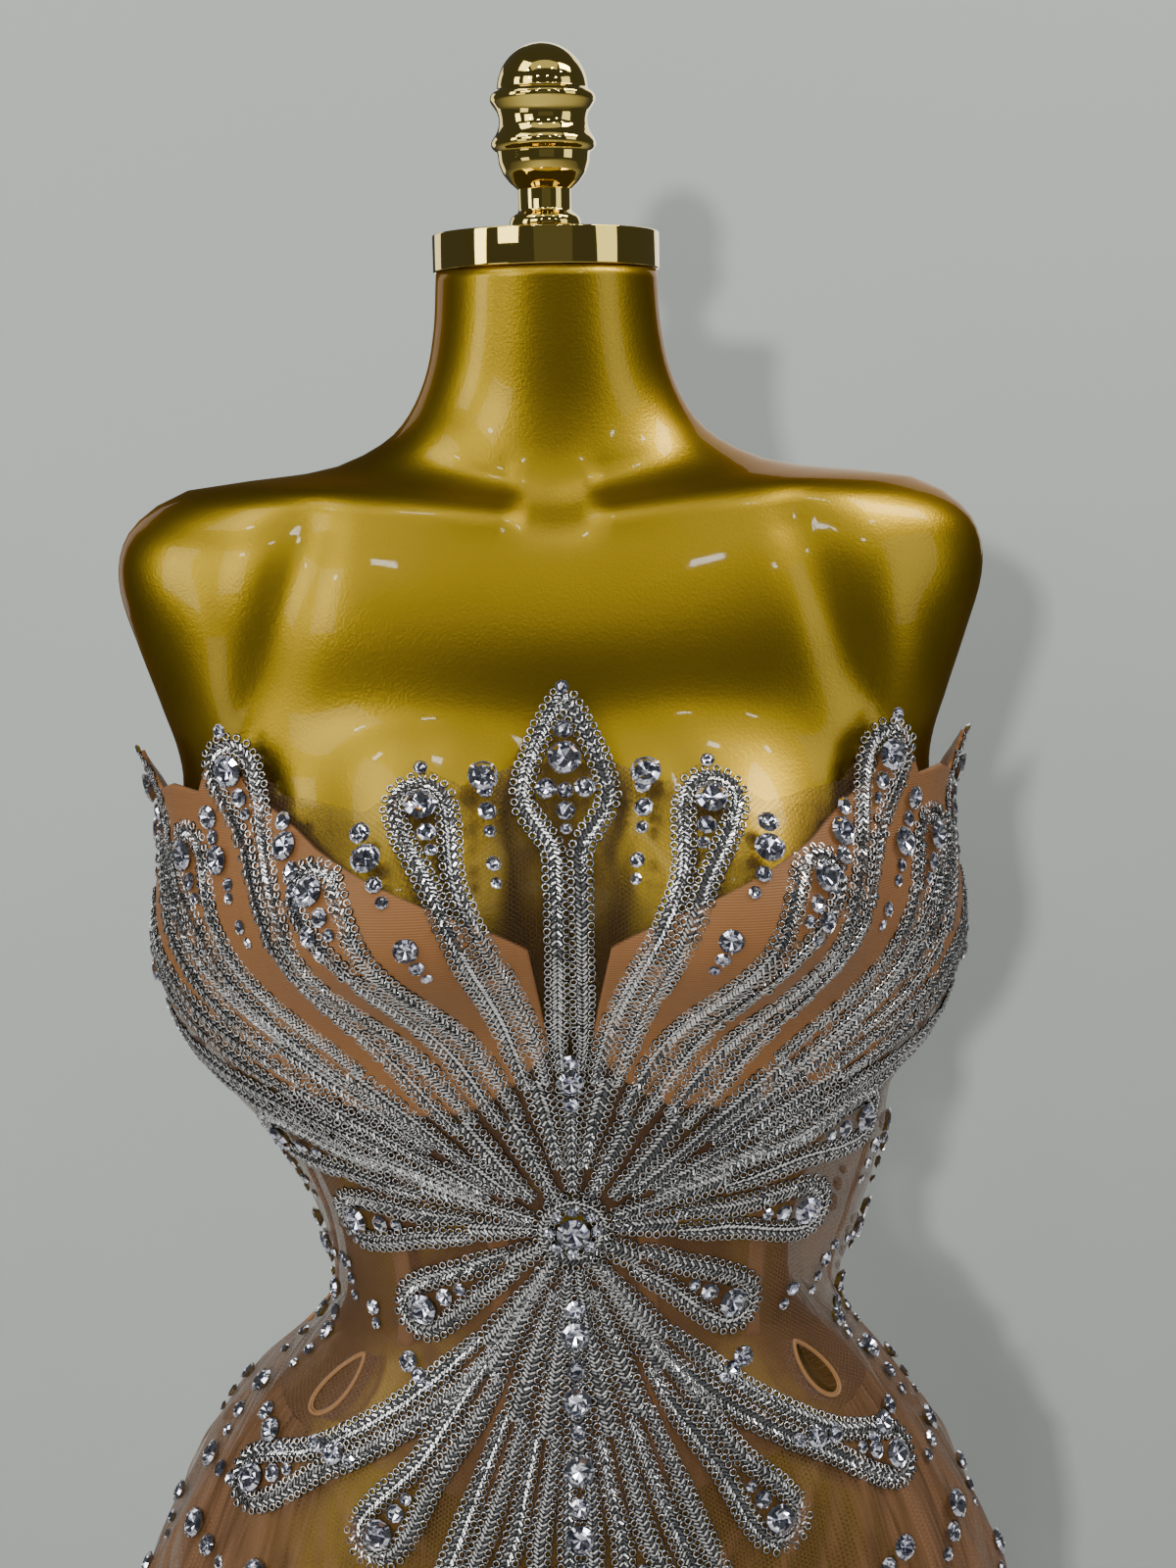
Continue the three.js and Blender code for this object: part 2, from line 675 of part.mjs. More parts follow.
function torsoGeometry() {
  const angles = [...HALF_ROUND, 180, ...HALF_ROUND.slice(1).reverse().map((a) => 360 - a)];
  const n = angles.length;
  const points = FORM_HEIGHTS.flatMap((h) => angles.map((a) => figurePoint(a > 180 ? a - 360 : a, h)));
  const foot = points.push(new THREE.Vector3(0, 0, FORM_FOOT)) - 1;
  const top = points.push(new THREE.Vector3(0, 0, FORM_TOP)) - 1;
  const faces = [];
  const lastLoop = (FORM_HEIGHTS.length - 1) * n;
  for (let i = 0; i < n; i++) {
    const j = (i + 1) % n;
    faces.push(j, i, foot);
    faces.push(lastLoop + i, lastLoop + j, top);
    for (let r = 0; r < lastLoop; r += n) quad(faces, r + i, r + j, r + n + j, r + n + i);
  }
  return geometryOf(points, faces);
}

add("form_torso", torsoGeometry(), GOLD_PAINT);

// Turned pieces, from profiles of radius and height that run from the axis up to the axis.
function turned(profile, bottom, sides) {
  const points = profile.map(([radius, height]) => new THREE.Vector2(radius, bottom + height));
  return new THREE.LatheGeometry(points, sides).rotateX(Math.PI / 2);
}

const CAP_PROFILE = [
  [0, 0],
  [CAP_RADIUS - 0.6, 0],
  [CAP_RADIUS, 0.6],
  [CAP_RADIUS, CAP_HEIGHT - 1],
  [CAP_RADIUS - 1, CAP_HEIGHT],
  [0, CAP_HEIGHT],
];
const FINIAL_PROFILE = [
  [0, 0],
  [16, 0],
  [16, 2],
  [12, 6],
  [12, 18],
  [18.5, 23.5],
  [20.8, 29],
  [20.2, 34],
  [23.4, 37.5],
  [23.2, 41.5],
  [19.6, 45.5],
  [19.6, 53.5],
  [23.4, 57.5],
  [23.2, 62],
  [20.2, 65.5],
  [18.8, 73],
  [14.5, 79.5],
  [8, 83],
  [0, 84.2],
];
const BASE_PROFILE = [
  [0, 0],
  [BASE_RADIUS - 2, 0],
  [BASE_RADIUS, 2],
  [BASE_RADIUS, 5.5],
  [BASE_RADIUS - 4, 8.5],
  [60, 12],
  [34, 14],
  [26, 20],
  [22, 40],
  [20, 44],
  [0, 44],
];
const FLANGE_PROFILE = [
  [0, 0],
  [20, 0],
  [20, 16],
  [24, 20],
  [62, 22],
  [64, 24],
  [64, 28],
  [0, 28],
];
const FLANGE_HEIGHT = 28;
const BASE_TOP = 44;

const capBottom = FORM_TOP + FIT_GAP;
const flangeBottom = FORM_FOOT - FIT_GAP - FLANGE_HEIGHT;
const poleBottom = BASE_TOP + FIT_GAP;
const poleLength = flangeBottom - FIT_GAP - poleBottom;
const POLE_PROFILE = [
  [0, 0],
  [POLE_RADIUS, 0],
  [POLE_RADIUS, poleLength],
  [0, poleLength],
];

add("neck_cap", turned(CAP_PROFILE, capBottom, 40), GOLD_PLATE);
add("finial", turned(FINIAL_PROFILE, capBottom + CAP_HEIGHT + FIT_GAP, 20), GOLD_PLATE);
add("stand_flange", turned(FLANGE_PROFILE, flangeBottom, 24), GOLD_PLATE);
add("stand_pole", turned(POLE_PROFILE, poleBottom, 20), GOLD_PLATE);
add("stand_base", turned(BASE_PROFILE, 0, 40), GOLD_PLATE);

export default part;
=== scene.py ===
import math

import bmesh
import bpy
import numpy as np
from mathutils import Matrix, Vector
from mathutils.kdtree import KDTree


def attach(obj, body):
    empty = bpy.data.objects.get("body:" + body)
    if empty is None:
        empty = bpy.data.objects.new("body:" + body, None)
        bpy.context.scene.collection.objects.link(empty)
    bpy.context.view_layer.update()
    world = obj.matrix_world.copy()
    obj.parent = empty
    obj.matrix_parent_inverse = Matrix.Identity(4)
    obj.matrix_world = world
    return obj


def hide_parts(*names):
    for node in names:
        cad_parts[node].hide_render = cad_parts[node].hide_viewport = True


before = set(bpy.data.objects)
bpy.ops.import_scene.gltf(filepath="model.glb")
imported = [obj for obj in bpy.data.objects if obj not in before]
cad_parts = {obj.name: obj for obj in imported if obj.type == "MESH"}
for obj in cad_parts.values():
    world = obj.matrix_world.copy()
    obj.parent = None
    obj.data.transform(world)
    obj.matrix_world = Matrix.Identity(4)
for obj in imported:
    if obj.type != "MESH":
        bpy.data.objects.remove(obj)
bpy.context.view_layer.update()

# ---------------------------------------------------------------- the dress form's torso
# A limbless figure moulded in fibreglass, from the neck to the upper thigh, with rounded stumps for
# shoulders. It is sprayed in metallic gold under a clear gloss coat, and stands on the flange.

MM = 0.001
FORM_TOP = 1410.0
FORM_FOOT = 690.0

# height, half width, front, back, squareness, rise of the sides, rise of the back
FIGURE = np.array([
    [600, 176, 88, 100, 2.2, 0, 0],
    [640, 183, 90, 106, 2.2, 0, 0],
    [690, 192, 94, 116, 2.2, 0, 0],
    [740, 199, 98, 125, 2.2, 0, 0],
    [790, 194, 98, 122, 2.2, 0, 0],
    [836, 173, 94, 108, 2.2, 0, 0],
    [880, 144, 87, 92, 2.2, 0, 0],
    [905, 120, 82, 83, 2.2, 0, 0],
    [920, 110, 79, 79, 2.2, 0, 0],
    [940, 106.5, 77, 76, 2.2, 0, 0],
    [970, 110.5, 78, 75, 2.2, 0, 0],
    [1005, 125, 82, 78, 2.3, 0, 0],
    [1035, 149, 86, 82, 2.4, 0, 0],
    [1060, 168, 90, 86, 2.4, 0, 0],
    [1085, 179, 93, 89, 2.5, 0, 0],
    [1110, 183, 95, 91, 2.5, 0, 0],
    [1140, 180, 97, 94, 2.5, 0, 0],
    [1180, 174, 98, 98, 2.5, 0, 0],
    [1198, 176, 97, 99, 2.5, 0, 0],
    [1215, 182, 95, 99, 2.5, 1, 0],
    [1238, 191, 91, 98, 2.5, 4, 0],
    [1262, 199, 84, 93, 2.6, 8, 4],
    [1280, 197, 78, 87, 2.7, 10, 6],
    [1292, 186, 73, 82, 2.7, 12, 8],
    [1300, 165, 68, 77, 2.6, 15, 12],
    [1306, 130, 63, 72, 2.5, 13, 20],
    [1312, 105, 59, 68, 2.4, 10, 28],
    [1320, 84, 55, 64, 2.2, 10, 30],
    [1332, 69, 52, 60, 2.1, 9, 26],
    [1352, 58, 50, 56, 2, 8, 18],
    [1380, 52.5, 50, 52.5, 2, 3, 6],
    [1410, 50.5, 50.5, 50.5, 2, 0, 0],
], float)
BUST = {"angle": 33, "height": 1128, "forward": 46, "spread": 17, "above": 42, "below": 29, "splay": 0.55}


def read(rows, at):
    """Every column of a table at heights, on a smooth curve through its rows."""
    x = rows[:, 0]
    at = np.clip(np.asarray(at, float), x[0], x[-1])
    i = np.clip(np.searchsorted(x, at, side="left") - 1, 0, len(x) - 2)
    low, high = rows[i], rows[i + 1]
    before, after = rows[np.maximum(i - 1, 0)], rows[np.minimum(i + 2, len(x) - 1)]
    span = (high - low)[..., :1]
    f = (at[..., None] - low[..., :1]) / span
    leave = (high - before) / (high - before)[..., :1] * span
    arrive = (after - low) / (after - low)[..., :1] * span
    rise = high - low
    return low + f * (leave + f * ((leave + arrive - 2 * rise) * f + 3 * rise - 2 * leave - arrive))


def bell(x, width):
    """1 at 0, falling to nothing at about three widths."""
    return np.exp(-0.5 * (x / width) ** 2)


def smooth(low, high, x):
    """0 below low, 1 above high, with a soft rise between."""
    f = np.clip((np.asarray(x, float) - low) / (high - low), 0, 1)
    return f * f * (3 - 2 * f)


def bust_swell(angle, height):
    """How far the bust carries the figure forward."""
    tall = np.where(height > BUST["height"], BUST["above"], BUST["below"])
    up = (height - BUST["height"]) / tall
    swell = 0
    for side in (1, -1):
        across = (angle - side * BUST["angle"]) / BUST["spread"]
        swell = swell + np.exp(-0.5 * (across**2 + up**2) ** 1.15)
    return BUST["forward"] * swell


def figure_point(angle, height, ease=(0, 0, 0, 0), extra=0):
    """Points of the figure in millimetres, the angle in degrees from the front towards +X. The ease is at
    the front, the -X side, the +X side and the back."""
    angle, height = np.broadcast_arrays(np.asarray(angle, float), np.asarray(height, float))
    row = read(FIGURE, height)
    a = np.radians(angle)
    across, ahead = np.sin(a), np.cos(a)
    half = row[..., 1] + np.where(across < 0, ease[1], ease[2])
    depth = np.where(ahead > 0, row[..., 2] + ease[0], row[..., 3] + ease[3])
    n = row[..., 4]
    radius = (np.abs(across / half) ** n + np.abs(ahead / depth) ** n) ** (-1 / n)
    swell = bust_swell(angle, height) + extra
    aim = a * BUST["splay"]
    lift = row[..., 5] * across**2 + row[..., 6] * np.maximum(0, -ahead) ** 2
    return np.stack(
        [radius * across + swell * np.sin(aim), -radius * ahead - swell * np.cos(aim), height + lift], axis=-1
    )


NUDGE = 0.4  # degrees and millimetres, for slopes


def normals_of(point, angle, height):
    """The outward direction of a surface given by a function of angle and height."""
    around = point(angle + NUDGE, height) - point(angle - NUDGE, height)
    up = point(angle, height + NUDGE) - point(angle, height - NUDGE)
    out = np.cross(around, up)
    return out / np.linalg.norm(out, axis=-1, keepdims=True)


# height, then how far from the middle the fold lies where an arm's stump joins the chest
STUMP_FOLD = np.array([[1180, 156], [1205, 150], [1240, 138], [1292, 118], [1310, 112]], float)


def form_point(angle, height):
    """The torso's skin: the figure with its collarbones, the hollows behind them and the notch between,
    a flatter chest, and the fold where each stump stands forward of it. All are outward, in millimetres."""
    base = figure_point(angle, height)
    turn = np.abs((np.asarray(angle, float) + 180) % 360 - 180)
    aside = np.abs(base[..., 0])
    collar = 3.6 * bell(height - 1301, 4.5) * smooth(9, 20, turn) * (1 - smooth(60, 78, turn))
    hollow = -2.6 * bell(height - 1315, 5) * smooth(12, 24, turn) * (1 - smooth(48, 66, turn))
    notch = -1.2 * bell(turn, 9) * bell(height - 1304, 9)
    from_fold = aside - np.interp(height, STUMP_FOLD[:, 0], STUMP_FOLD[:, 1])
    recess = -5.5 * bell(from_fold + 8, 11)
    chest = -5.0 * bell(height - 1220, 17) * (1 - smooth(100, 150, aside)) * (turn < 90)
    ridge = 2.2 * smooth(-4, 3, from_fold) * (1 - smooth(6, 40, from_fold))
    fold = (recess + ridge) * smooth(1185, 1235, height) * (1 - smooth(1286, 1306, height)) * (turn < 90)
    out = np.stack([np.sin(np.radians(angle)), -np.cos(np.radians(angle)), np.zeros_like(base[..., 0])], -1)
    return base + out * (collar + hollow + notch + chest + fold)[..., None]


def linked(name, data):
    """A new object in the scene."""
    made = bpy.data.objects.new(name, data)
    bpy.context.collection.objects.link(made)
    return made


def grid_object(name, columns, rows, place, closed=False, store=None):
    """A grid whose vertices are moved to place(u, v), in millimetres, u across and v along it from 0 to 1.
    A closed one has its two sides welded and its ends filled. Each vertex can store a vector as "cloth"."""
    mesh = bpy.data.meshes.new(name)
    grid = bmesh.new()
    bmesh.ops.create_grid(grid, x_segments=columns, y_segments=rows, size=0.5)
    grid.to_mesh(mesh)
    grid.free()
    flat = np.empty(len(mesh.vertices) * 3)
    mesh.vertices.foreach_get("co", flat)
    u, v = flat.reshape(-1, 3)[:, 0] + 0.5, flat.reshape(-1, 3)[:, 1] + 0.5
    mesh.vertices.foreach_set("co", (place(u, v) * MM).ravel())
    if store:
        kept = mesh.attributes.new("cloth", "FLOAT_VECTOR", "POINT")
        kept.data.foreach_set("vector", store(u, v).ravel())
    mesh.update()
    if closed:
        shape = bmesh.new()
        shape.from_mesh(mesh)
        bmesh.ops.remove_doubles(shape, verts=shape.verts, dist=0.02 * MM)
        bmesh.ops.holes_fill(shape, edges=shape.edges, sides=0)
        bmesh.ops.recalc_face_normals(shape, faces=shape.faces)
        shape.to_mesh(mesh)
        shape.free()
    mesh.shade_smooth()
    return linked(name, mesh)


def shader(name, color, roughness, metallic=0.0, **more):
    """A material with one Principled shader, whose other sockets are given by name."""
    made = bpy.data.materials.new(name)
    made.use_nodes = True
    principled = made.node_tree.nodes["Principled BSDF"]
    principled.inputs["Base Color"].default_value = (*color, 1)
    principled.inputs["Roughness"].default_value = roughness
    principled.inputs["Metallic"].default_value = metallic
    for socket, value in more.items():
        principled.inputs[socket.replace("_", " ")].default_value = value
    return made, made.node_tree, principled


def node(tree, kind, inputs=(), **properties):
    """A new node, its properties set, and each of its inputs given a value or linked to an output."""
    made = tree.nodes.new(kind)
    for name, value in properties.items():
        setattr(made, name, value)
    for name, value in dict(inputs).items():
        if isinstance(value, bpy.types.NodeSocket):
            tree.links.new(value, made.inputs[name])
        else:
            made.inputs[name].default_value = value
    return made


def add_bump(tree, principled, height, strength, distance):
    bump = node(tree, "ShaderNodeBump", {"Strength": strength, "Distance": distance, "Height": height})
    tree.links.new(bump.outputs["Normal"], principled.inputs["Normal"])


def object_noise(tree, scale, detail):
    """Noise fixed to the piece, at a scale in cells a metre."""
    where = node(tree, "ShaderNodeTexCoord").outputs["Object"]
    return node(tree, "ShaderNodeTexNoise", {"Scale": scale, "Detail": detail, "Vector": where}).outputs["Fac"]


def color_ramp(tree, value, stops, interpolation="LINEAR"):
    """The colour that a value has on a ramp, whose stops are positions and colours."""
    ramp = node(tree, "ShaderNodeValToRGB", {"Fac": value})
    ramp.color_ramp.interpolation = interpolation
    elements = ramp.color_ramp.elements
    for i, (position, color) in enumerate(stops):
        stop = elements[i] if i < len(elements) else elements.new(position)
        stop.position = position
        stop.color = (*color, 1)
    return ramp.outputs["Color"]


def finish_piece(piece, material, slot, *nodes):
    """Gives a piece its material, and the CAD nodes that it stands for. The slot is not used."""
    piece.data.materials.clear()
    piece.data.materials.append(material)
    if nodes:
        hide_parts(*nodes)
    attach(piece, "root")


gold_paint, gold_tree, gold_shader = shader(
    "gold_paint",
    (0.37, 0.246, 0.015),
    0.38,
    1.0,
    Coat_Weight=0.22,
    Coat_Roughness=0.04,
    Coat_IOR=1.45,
    Specular_Tint=(0.34, 0.22, 0.045, 1),
)
FLAKES_A_METRE = 800
add_bump(gold_tree, gold_shader, object_noise(gold_tree, FLAKES_A_METRE, 2), 0.22, 0.0005)

torso = grid_object(
    "torso_skin",
    300,
    150,
    lambda u, v: form_point(u * 360 - 180, FORM_FOOT + (FORM_TOP - FORM_FOOT) * v),
    closed=True,
)
finish_piece(torso, gold_paint, "gold_paint", "form_torso")

# ---------------------------------------------------------------- the neck cap, finial and stand
# Turned metal, plated in mirror gold. The cap closes the neck and carries the finial. Under the torso
# a flange holds the pole, which stands in the boss of a round base plate.

gold_plate = shader("gold_plate", (0.80, 0.60, 0.14), 0.03, 1.0)[0]

GAP = 0.4
CAP_BOTTOM = FORM_TOP + GAP
CAP_TALL = 16.6
FINIAL_BOTTOM = CAP_BOTTOM + CAP_TALL + GAP
FLANGE_TALL = 28
FLANGE_BOTTOM = FORM_FOOT - GAP - FLANGE_TALL


def turned_object(name, profile, bottom, sides):
    """A profile of radius and height, spun round the pole's axis."""
    shape = bmesh.new()
    corners = [shape.verts.new((r * MM, 0, (bottom + z) * MM)) for r, z in profile]
    for a, b in zip(corners, corners[1:]):
        shape.edges.new((a, b))
    bmesh.ops.spin(
        shape,
        geom=shape.verts[:] + shape.edges[:],
        cent=(0, 0, 0),
        axis=(0, 0, 1),
        angle=2 * math.pi,
        steps=sides,
        use_merge=True,
    )
    bmesh.ops.remove_doubles(shape, verts=shape.verts, dist=1e-6)
    bmesh.ops.recalc_face_normals(shape, faces=shape.faces)
    mesh = bpy.data.meshes.new(name)
    shape.to_mesh(mesh)
    shape.free()
    mesh.shade_smooth()
    mesh.set_sharp_from_angle(angle=math.radians(38))
    return linked(name, mesh)


def rounded(profile, rounding, steps=4):
    """The profile with each corner replaced by a short arc, except the two ends on the axis."""
    points = [Vector(p) for p in profile]
    out = [tuple(points[0])]
    for before, corner, after in zip(points, points[1:], points[2:]):
        cut = min(rounding, (corner - before).length * 0.45, (after - corner).length * 0.45)
        a = corner + (before - corner).normalized() * cut
        b = corner + (after - corner).normalized() * cut
        for i in range(steps + 1):
            f = i / steps
            out.append(tuple(a * (1 - f) ** 2 + corner * 2 * f * (1 - f) + b * f**2))
    out.append(tuple(points[-1]))
    return out


CAP_PROFILE = [(0, 0), (51.7, 0), (51.7, CAP_TALL), (49.6, CAP_TALL), (49.2, 15.6), (0, 15.6)]
cap = turned_object("neck_cap_turned", rounded(CAP_PROFILE, 0.7), CAP_BOTTOM, 128)
finish_piece(cap, gold_plate, "gold_plate", "neck_cap")

FINIAL_FOOT = [(0, 0), (14.6, 0), (16.0, 1.4), (16.4, 4.4), (15.6, 7.2), (12.6, 9.2), (12.0, 10.2), (12.0, 19.4)]
FINIAL_BOWL = [(12.6, 19.8), (15.8, 22.6), (18.8, 26.6), (20.5, 31), (20.9, 35.2)]
FINIAL_LOW_RING = [(21.3, 36.2), (23.2, 37.4), (24.0, 39.4), (23.4, 41.4), (21.6, 44), (20.4, 46.6), (20.0, 49.4)]
FINIAL_TOP_RING = [(20.1, 51.4), (20.9, 54.0), (22.7, 56.6), (24.0, 58.6), (23.9, 60.6), (22.6, 62.2), (21.0, 63.0)]
DOME_RADIUS = 20.6
DOME_BOTTOM = 63.6
turns = [math.radians(degree) for degree in range(0, 90, 6)]
dome = [(DOME_RADIUS * math.cos(turn), DOME_BOTTOM + DOME_RADIUS * math.sin(turn)) for turn in turns]
dome.append((0, DOME_BOTTOM + DOME_RADIUS))
finial_profile = [*FINIAL_FOOT, *FINIAL_BOWL, *FINIAL_LOW_RING, *FINIAL_TOP_RING, *dome]
finial = turned_object("finial_turned", rounded(finial_profile, 1.0, 3), FINIAL_BOTTOM, 96)
finish_piece(finial, gold_plate, "gold_plate", "finial")

FLANGE_PROFILE = [(0, 0), (20, 0), (20, 16), (24, 20), (62, 22), (64, 24), (64, FLANGE_TALL), (0, FLANGE_TALL)]
flange = turned_object("flange_turned", rounded(FLANGE_PROFILE, 1.0), FLANGE_BOTTOM, 64)
finish_piece(flange, gold_plate, "gold_plate", "stand_flange")

BASE_TOP = 44
BASE_PLATE = [(0, 0), (178, 0), (180, 2), (180, 5.5), (176, 8.5), (60, 12)]
BASE_PROFILE = [*BASE_PLATE, (34, 14), (26, 20), (22, 40), (20, BASE_TOP), (0, BASE_TOP)]
base = turned_object("base_turned", rounded(BASE_PROFILE, 1.2), 0, 128)
finish_piece(base, gold_plate, "gold_plate", "stand_base")

POLE_RADIUS = 12.5
POLE_LENGTH = FLANGE_BOTTOM - GAP - BASE_TOP - GAP
POLE_PROFILE = [(0, 0), (POLE_RADIUS, 0), (POLE_RADIUS, POLE_LENGTH), (0, POLE_LENGTH)]
pole = turned_object("pole_turned", POLE_PROFILE, BASE_TOP + GAP, 48)
finish_piece(pole, gold_plate, "gold_plate", "stand_pole")

# ---------------------------------------------------------------- the cloth's surface
# Every panel lies on one surface, the figure with some ease. The front is a fan: lines leave the
# sunburst's centre, a ray of braid along each whole number k and the middle of a gap at each half.

HEM = 620.0
SUNBURST = 985.0
HEART_RADIUS = 12.0
SIDE_SEAM = 95.0
BACK_EDGE = 179.5
SIDE_WAIST = 908.0
SIDES = ((-1, "minus_x"), (1, "plus_x"))

# height, then the ease at the front, the -X side, the +X side and the back
EASE = np.array([
    [600, 26, 32, 32, 34],
    [690, 16, 24, 24, 24],
    [740, 12, 18, 18, 16],
    [790, 10, 16, 15, 12],
    [836, 9, 15, 15, 10],
    [878, 9, 17, 16, 9],
    [900, 9, 14, 19, 9],
    [925, 9, 6.5, 21, 9],
    [940, 9, 6, 26, 9],
    [958, 9, 6.5, 31, 8],
    [985, 8, 8, 32, 8],
    [1008, 8, 8, 26, 7],
    [1032, 7, 8, 10, 6],
    [1060, 7, 8, 8, 6],
    [1110, 6.5, 7, 7, 5.5],
    [1165, 6, 8, 7, 5.5],
    [1195, 6, 16, 14, 5.5],
    [1240, 6, 20, 18, 5.5],
], float)
# how the cloth spans the hollow between the cups, and the skirt's deep soft folds
BRIDGE = {"forward": 15, "height": 1132, "spread": 10, "tall": 40}
GATHERS = {"period": 20, "depth": 6, "top": 850}


def cloth_point(angle, height):
    """Points of the cloth in millimetres, the angle in degrees from the front towards +X."""
    angle, height = np.broadcast_arrays(np.asarray(angle, float), np.asarray(height, float))
    ease = read(EASE, height)
    hang = 1 - smooth(HEM, GATHERS["top"], height)
    out = GATHERS["depth"] * hang * np.cos(2 * np.pi * angle / GATHERS["period"])
    span = bell(angle, BRIDGE["spread"]) * bell(height - BRIDGE["height"], BRIDGE["tall"])
    sides = [ease[..., c] + out for c in (1, 2, 3, 4)]
    return figure_point(angle, height, sides, BRIDGE["forward"] * span)


def cloth_normal(angle, height):
    return normals_of(cloth_point, angle, height)


# bend angle and height, end angle and height, edge angle and height, valley angle and height, reach, loop
RAYS = np.array([
    [0, 1080, 0, 1210, 0, 1230, 14, 1182, 0.93, 1],
    [9, 1070, 29, 1182, 30, 1198, 38, 1180, 0.93, 1],
    [22, 1052, 45, 1152, 47, 1184, 53, 1186, 0.88, 1],
    [40, 1030, 61, 1196, 62, 1212, 67, 1184, 0.93, 1],
    [53, 1030, 71, 1158, 73, 1186, 77, 1182, 0.88, 1],
    [63, 1030, 83, 1182, 84, 1198, 95, 1170, 0.93, 1],
    [60, 1022, 86, 1128, 95, 1142, 95, 1112, 0.88, 0],
    [54, 1012, 86, 1072, 95, 1080, 95, 1056, 0.88, 0],
    [42, 1006, 72, 1026, 95, 1030, 95, 1005, 0.8, 1],
    [32, 988, 63, 984, 95, 980, 95, 955, 0.7, 1],
    [26, 966, 48, 940, 95, 932, 95, 908, 0.6, 1],
    [38, 900, 72, 856, 80, 620, 70, 620, 0.5, 1],
    [25, 925, 47, 838, 60, 620, 50, 620, 0.5, 1],
    [15, 920, 37, 780, 40, 620, 30, 620, 0.55, 1],
    [7, 905, 18, 800, 20, 620, 10, 620, 0.5, 1],
    [0, 900, 0, 765, 0, 620, 0, 620, 0.6, 1],
], float)
LAST_RAY = len(RAYS) - 1
CORNER_RAY = 10  # the last one that ends at the side seam

RAY_LINES = RAYS[:, [0, 1, 2, 3, 4, 5, 8]]
GAP_LINES = (RAY_LINES[:-1] + RAY_LINES[1:]) / 2
GAP_LINES[:, 4:6] = RAYS[:-1, 6:8]
GAP_LINES[CORNER_RAY, 2:6] = [SIDE_SEAM, SIDE_WAIST, SIDE_SEAM, HEM]


def along(line, t):
    """Angles and heights at shares t of a line's length."""
    t = np.asarray(t, float)[..., None]
    reach = line[..., 6:7]
    f = np.clip(t / reach, 0, 1)
    past = np.clip((t - reach) / (1 - reach), 0, 1)
    curve = (1 - f) ** 2 * np.array([0, SUNBURST]) + 2 * f * (1 - f) * line[..., 0:2] + f**2 * line[..., 2:4]
    return curve + past * (line[..., 4:6] - line[..., 2:4])


def fan(k, t):
    """Angles and heights in the fan at any k, from 0 to the last ray, and any share t."""
    k, t = np.broadcast_arrays(np.asarray(k, float), np.asarray(t, float))
    i = np.clip(np.floor(k).astype(int), 0, LAST_RAY - 1)
    f = (k - i)[..., None]
    ray, gap, following = along(RAY_LINES[i], t), along(GAP_LINES[i], t), along(RAY_LINES[i + 1], t)
    return np.where(f < 0.5, ray + (gap - ray) * 2 * f, gap + (following - gap) * (2 * f - 1))


CUP_LOW = {"angle": 34, "height": 1040, "inner_rise": 44, "outer_rise": 52}
HIP_SEAM_FRONT = 852


def cup_seam(angle):
    """The height of the seam under a cup, which is lowest below the middle of the bust."""
    aside = angle - CUP_LOW["angle"]
    inner = CUP_LOW["inner_rise"] * (aside / CUP_LOW["angle"]) ** 2
    outer = CUP_LOW["outer_rise"] * (aside / (SIDE_SEAM - CUP_LOW["angle"])) ** 2
    return CUP_LOW["height"] + np.where(aside < 0, inner, outer)


def hip_seam(angle):
    """The height of the seam between basque and skirt, which rises to the waist at the sides."""
    aside = np.minimum(1, np.abs(angle) / SIDE_SEAM)
    return HIP_SEAM_FRONT + (SIDE_WAIST - HIP_SEAM_FRONT) * aside**1.3


HEART = cloth_point(0, SUNBURST)


def past_heart(angle, height):
    return np.linalg.norm(cloth_point(angle, height) - HEART, axis=-1) > HEART_RADIUS


def above_cup_seam(angle, height):
    return height > cup_seam(angle)


def below_hip_seam(angle, height):
    return height < hip_seam(angle) + 0.001


def first_where(k, passes):
    """The share of each line's length at which it first passes a test."""
    k = np.asarray(k, float)
    t = np.linspace(0, 1, 61)
    places = fan(k[:, None], t[None, :])
    passed = passes(places[..., 0], places[..., 1])
    passed[:, 0] = False
    passed[:, -1] = True
    high = t[passed.argmax(axis=1)]
    low = high - t[1]
    for _ in range(18):
        mid = (low + high) / 2
        place = fan(k, mid)
        yes = passes(place[:, 0], place[:, 1])
        high, low = np.where(yes, mid, high), np.where(yes, low, mid)
    return high


def fan_place(columns, start, stop):
    """For a grid over the fan: its u gives k and side through columns(u), and v runs between two limits.
    The lines half way between a ray and a gap are a mix of the two, each between its own limits."""

    def angles(u, v):
        k, side = columns(u)
        knots = np.arange(0, LAST_RAY + 0.75, 0.5)
        low, high = start(knots), stop(knots)
        i = np.clip(np.floor(k * 2 + 1e-6).astype(int), 0, len(knots) - 2)
        f = (k * 2 - i)[:, None]
        ends = [fan(knots[j], low[j] + (high[j] - low[j]) * v) for j in (i, i + 1)]
        place = ends[0] * (1 - f) + ends[1] * f
        return side * place[:, 0], place[:, 1]

    return angles


def limit(passes):
    """Where each line first passes a test, as a function of k."""
    return lambda k: first_where(k, passes)


from_heart, to_cup, to_hip = limit(past_heart), limit(above_cup_seam), limit(below_hip_seam)


def to_edge(k):
    return np.ones_like(k)


def to_side(k):
    return np.where(k > CORNER_RAY + 0.49, to_hip(k), 1.0)


def one_side(side, first, last):
    """Columns from k first to k last on one side."""
    return lambda u: (first + (last - first) * (u if side > 0 else 1 - u), np.full_like(u, side))


def across_top(half):
    """Columns over the top, from one side's k to the other's."""
    return lambda u: (np.abs(2 * u - 1) * half, np.where(u < 0.5, -1.0, 1.0))


def across_bottom(first):
    """Columns under the bottom, from k first on the +X side to the same on the other."""
    return lambda u: (LAST_RAY - np.abs(2 * u - 1) * (LAST_RAY - first), np.where(u < 0.5, 1.0, -1.0))


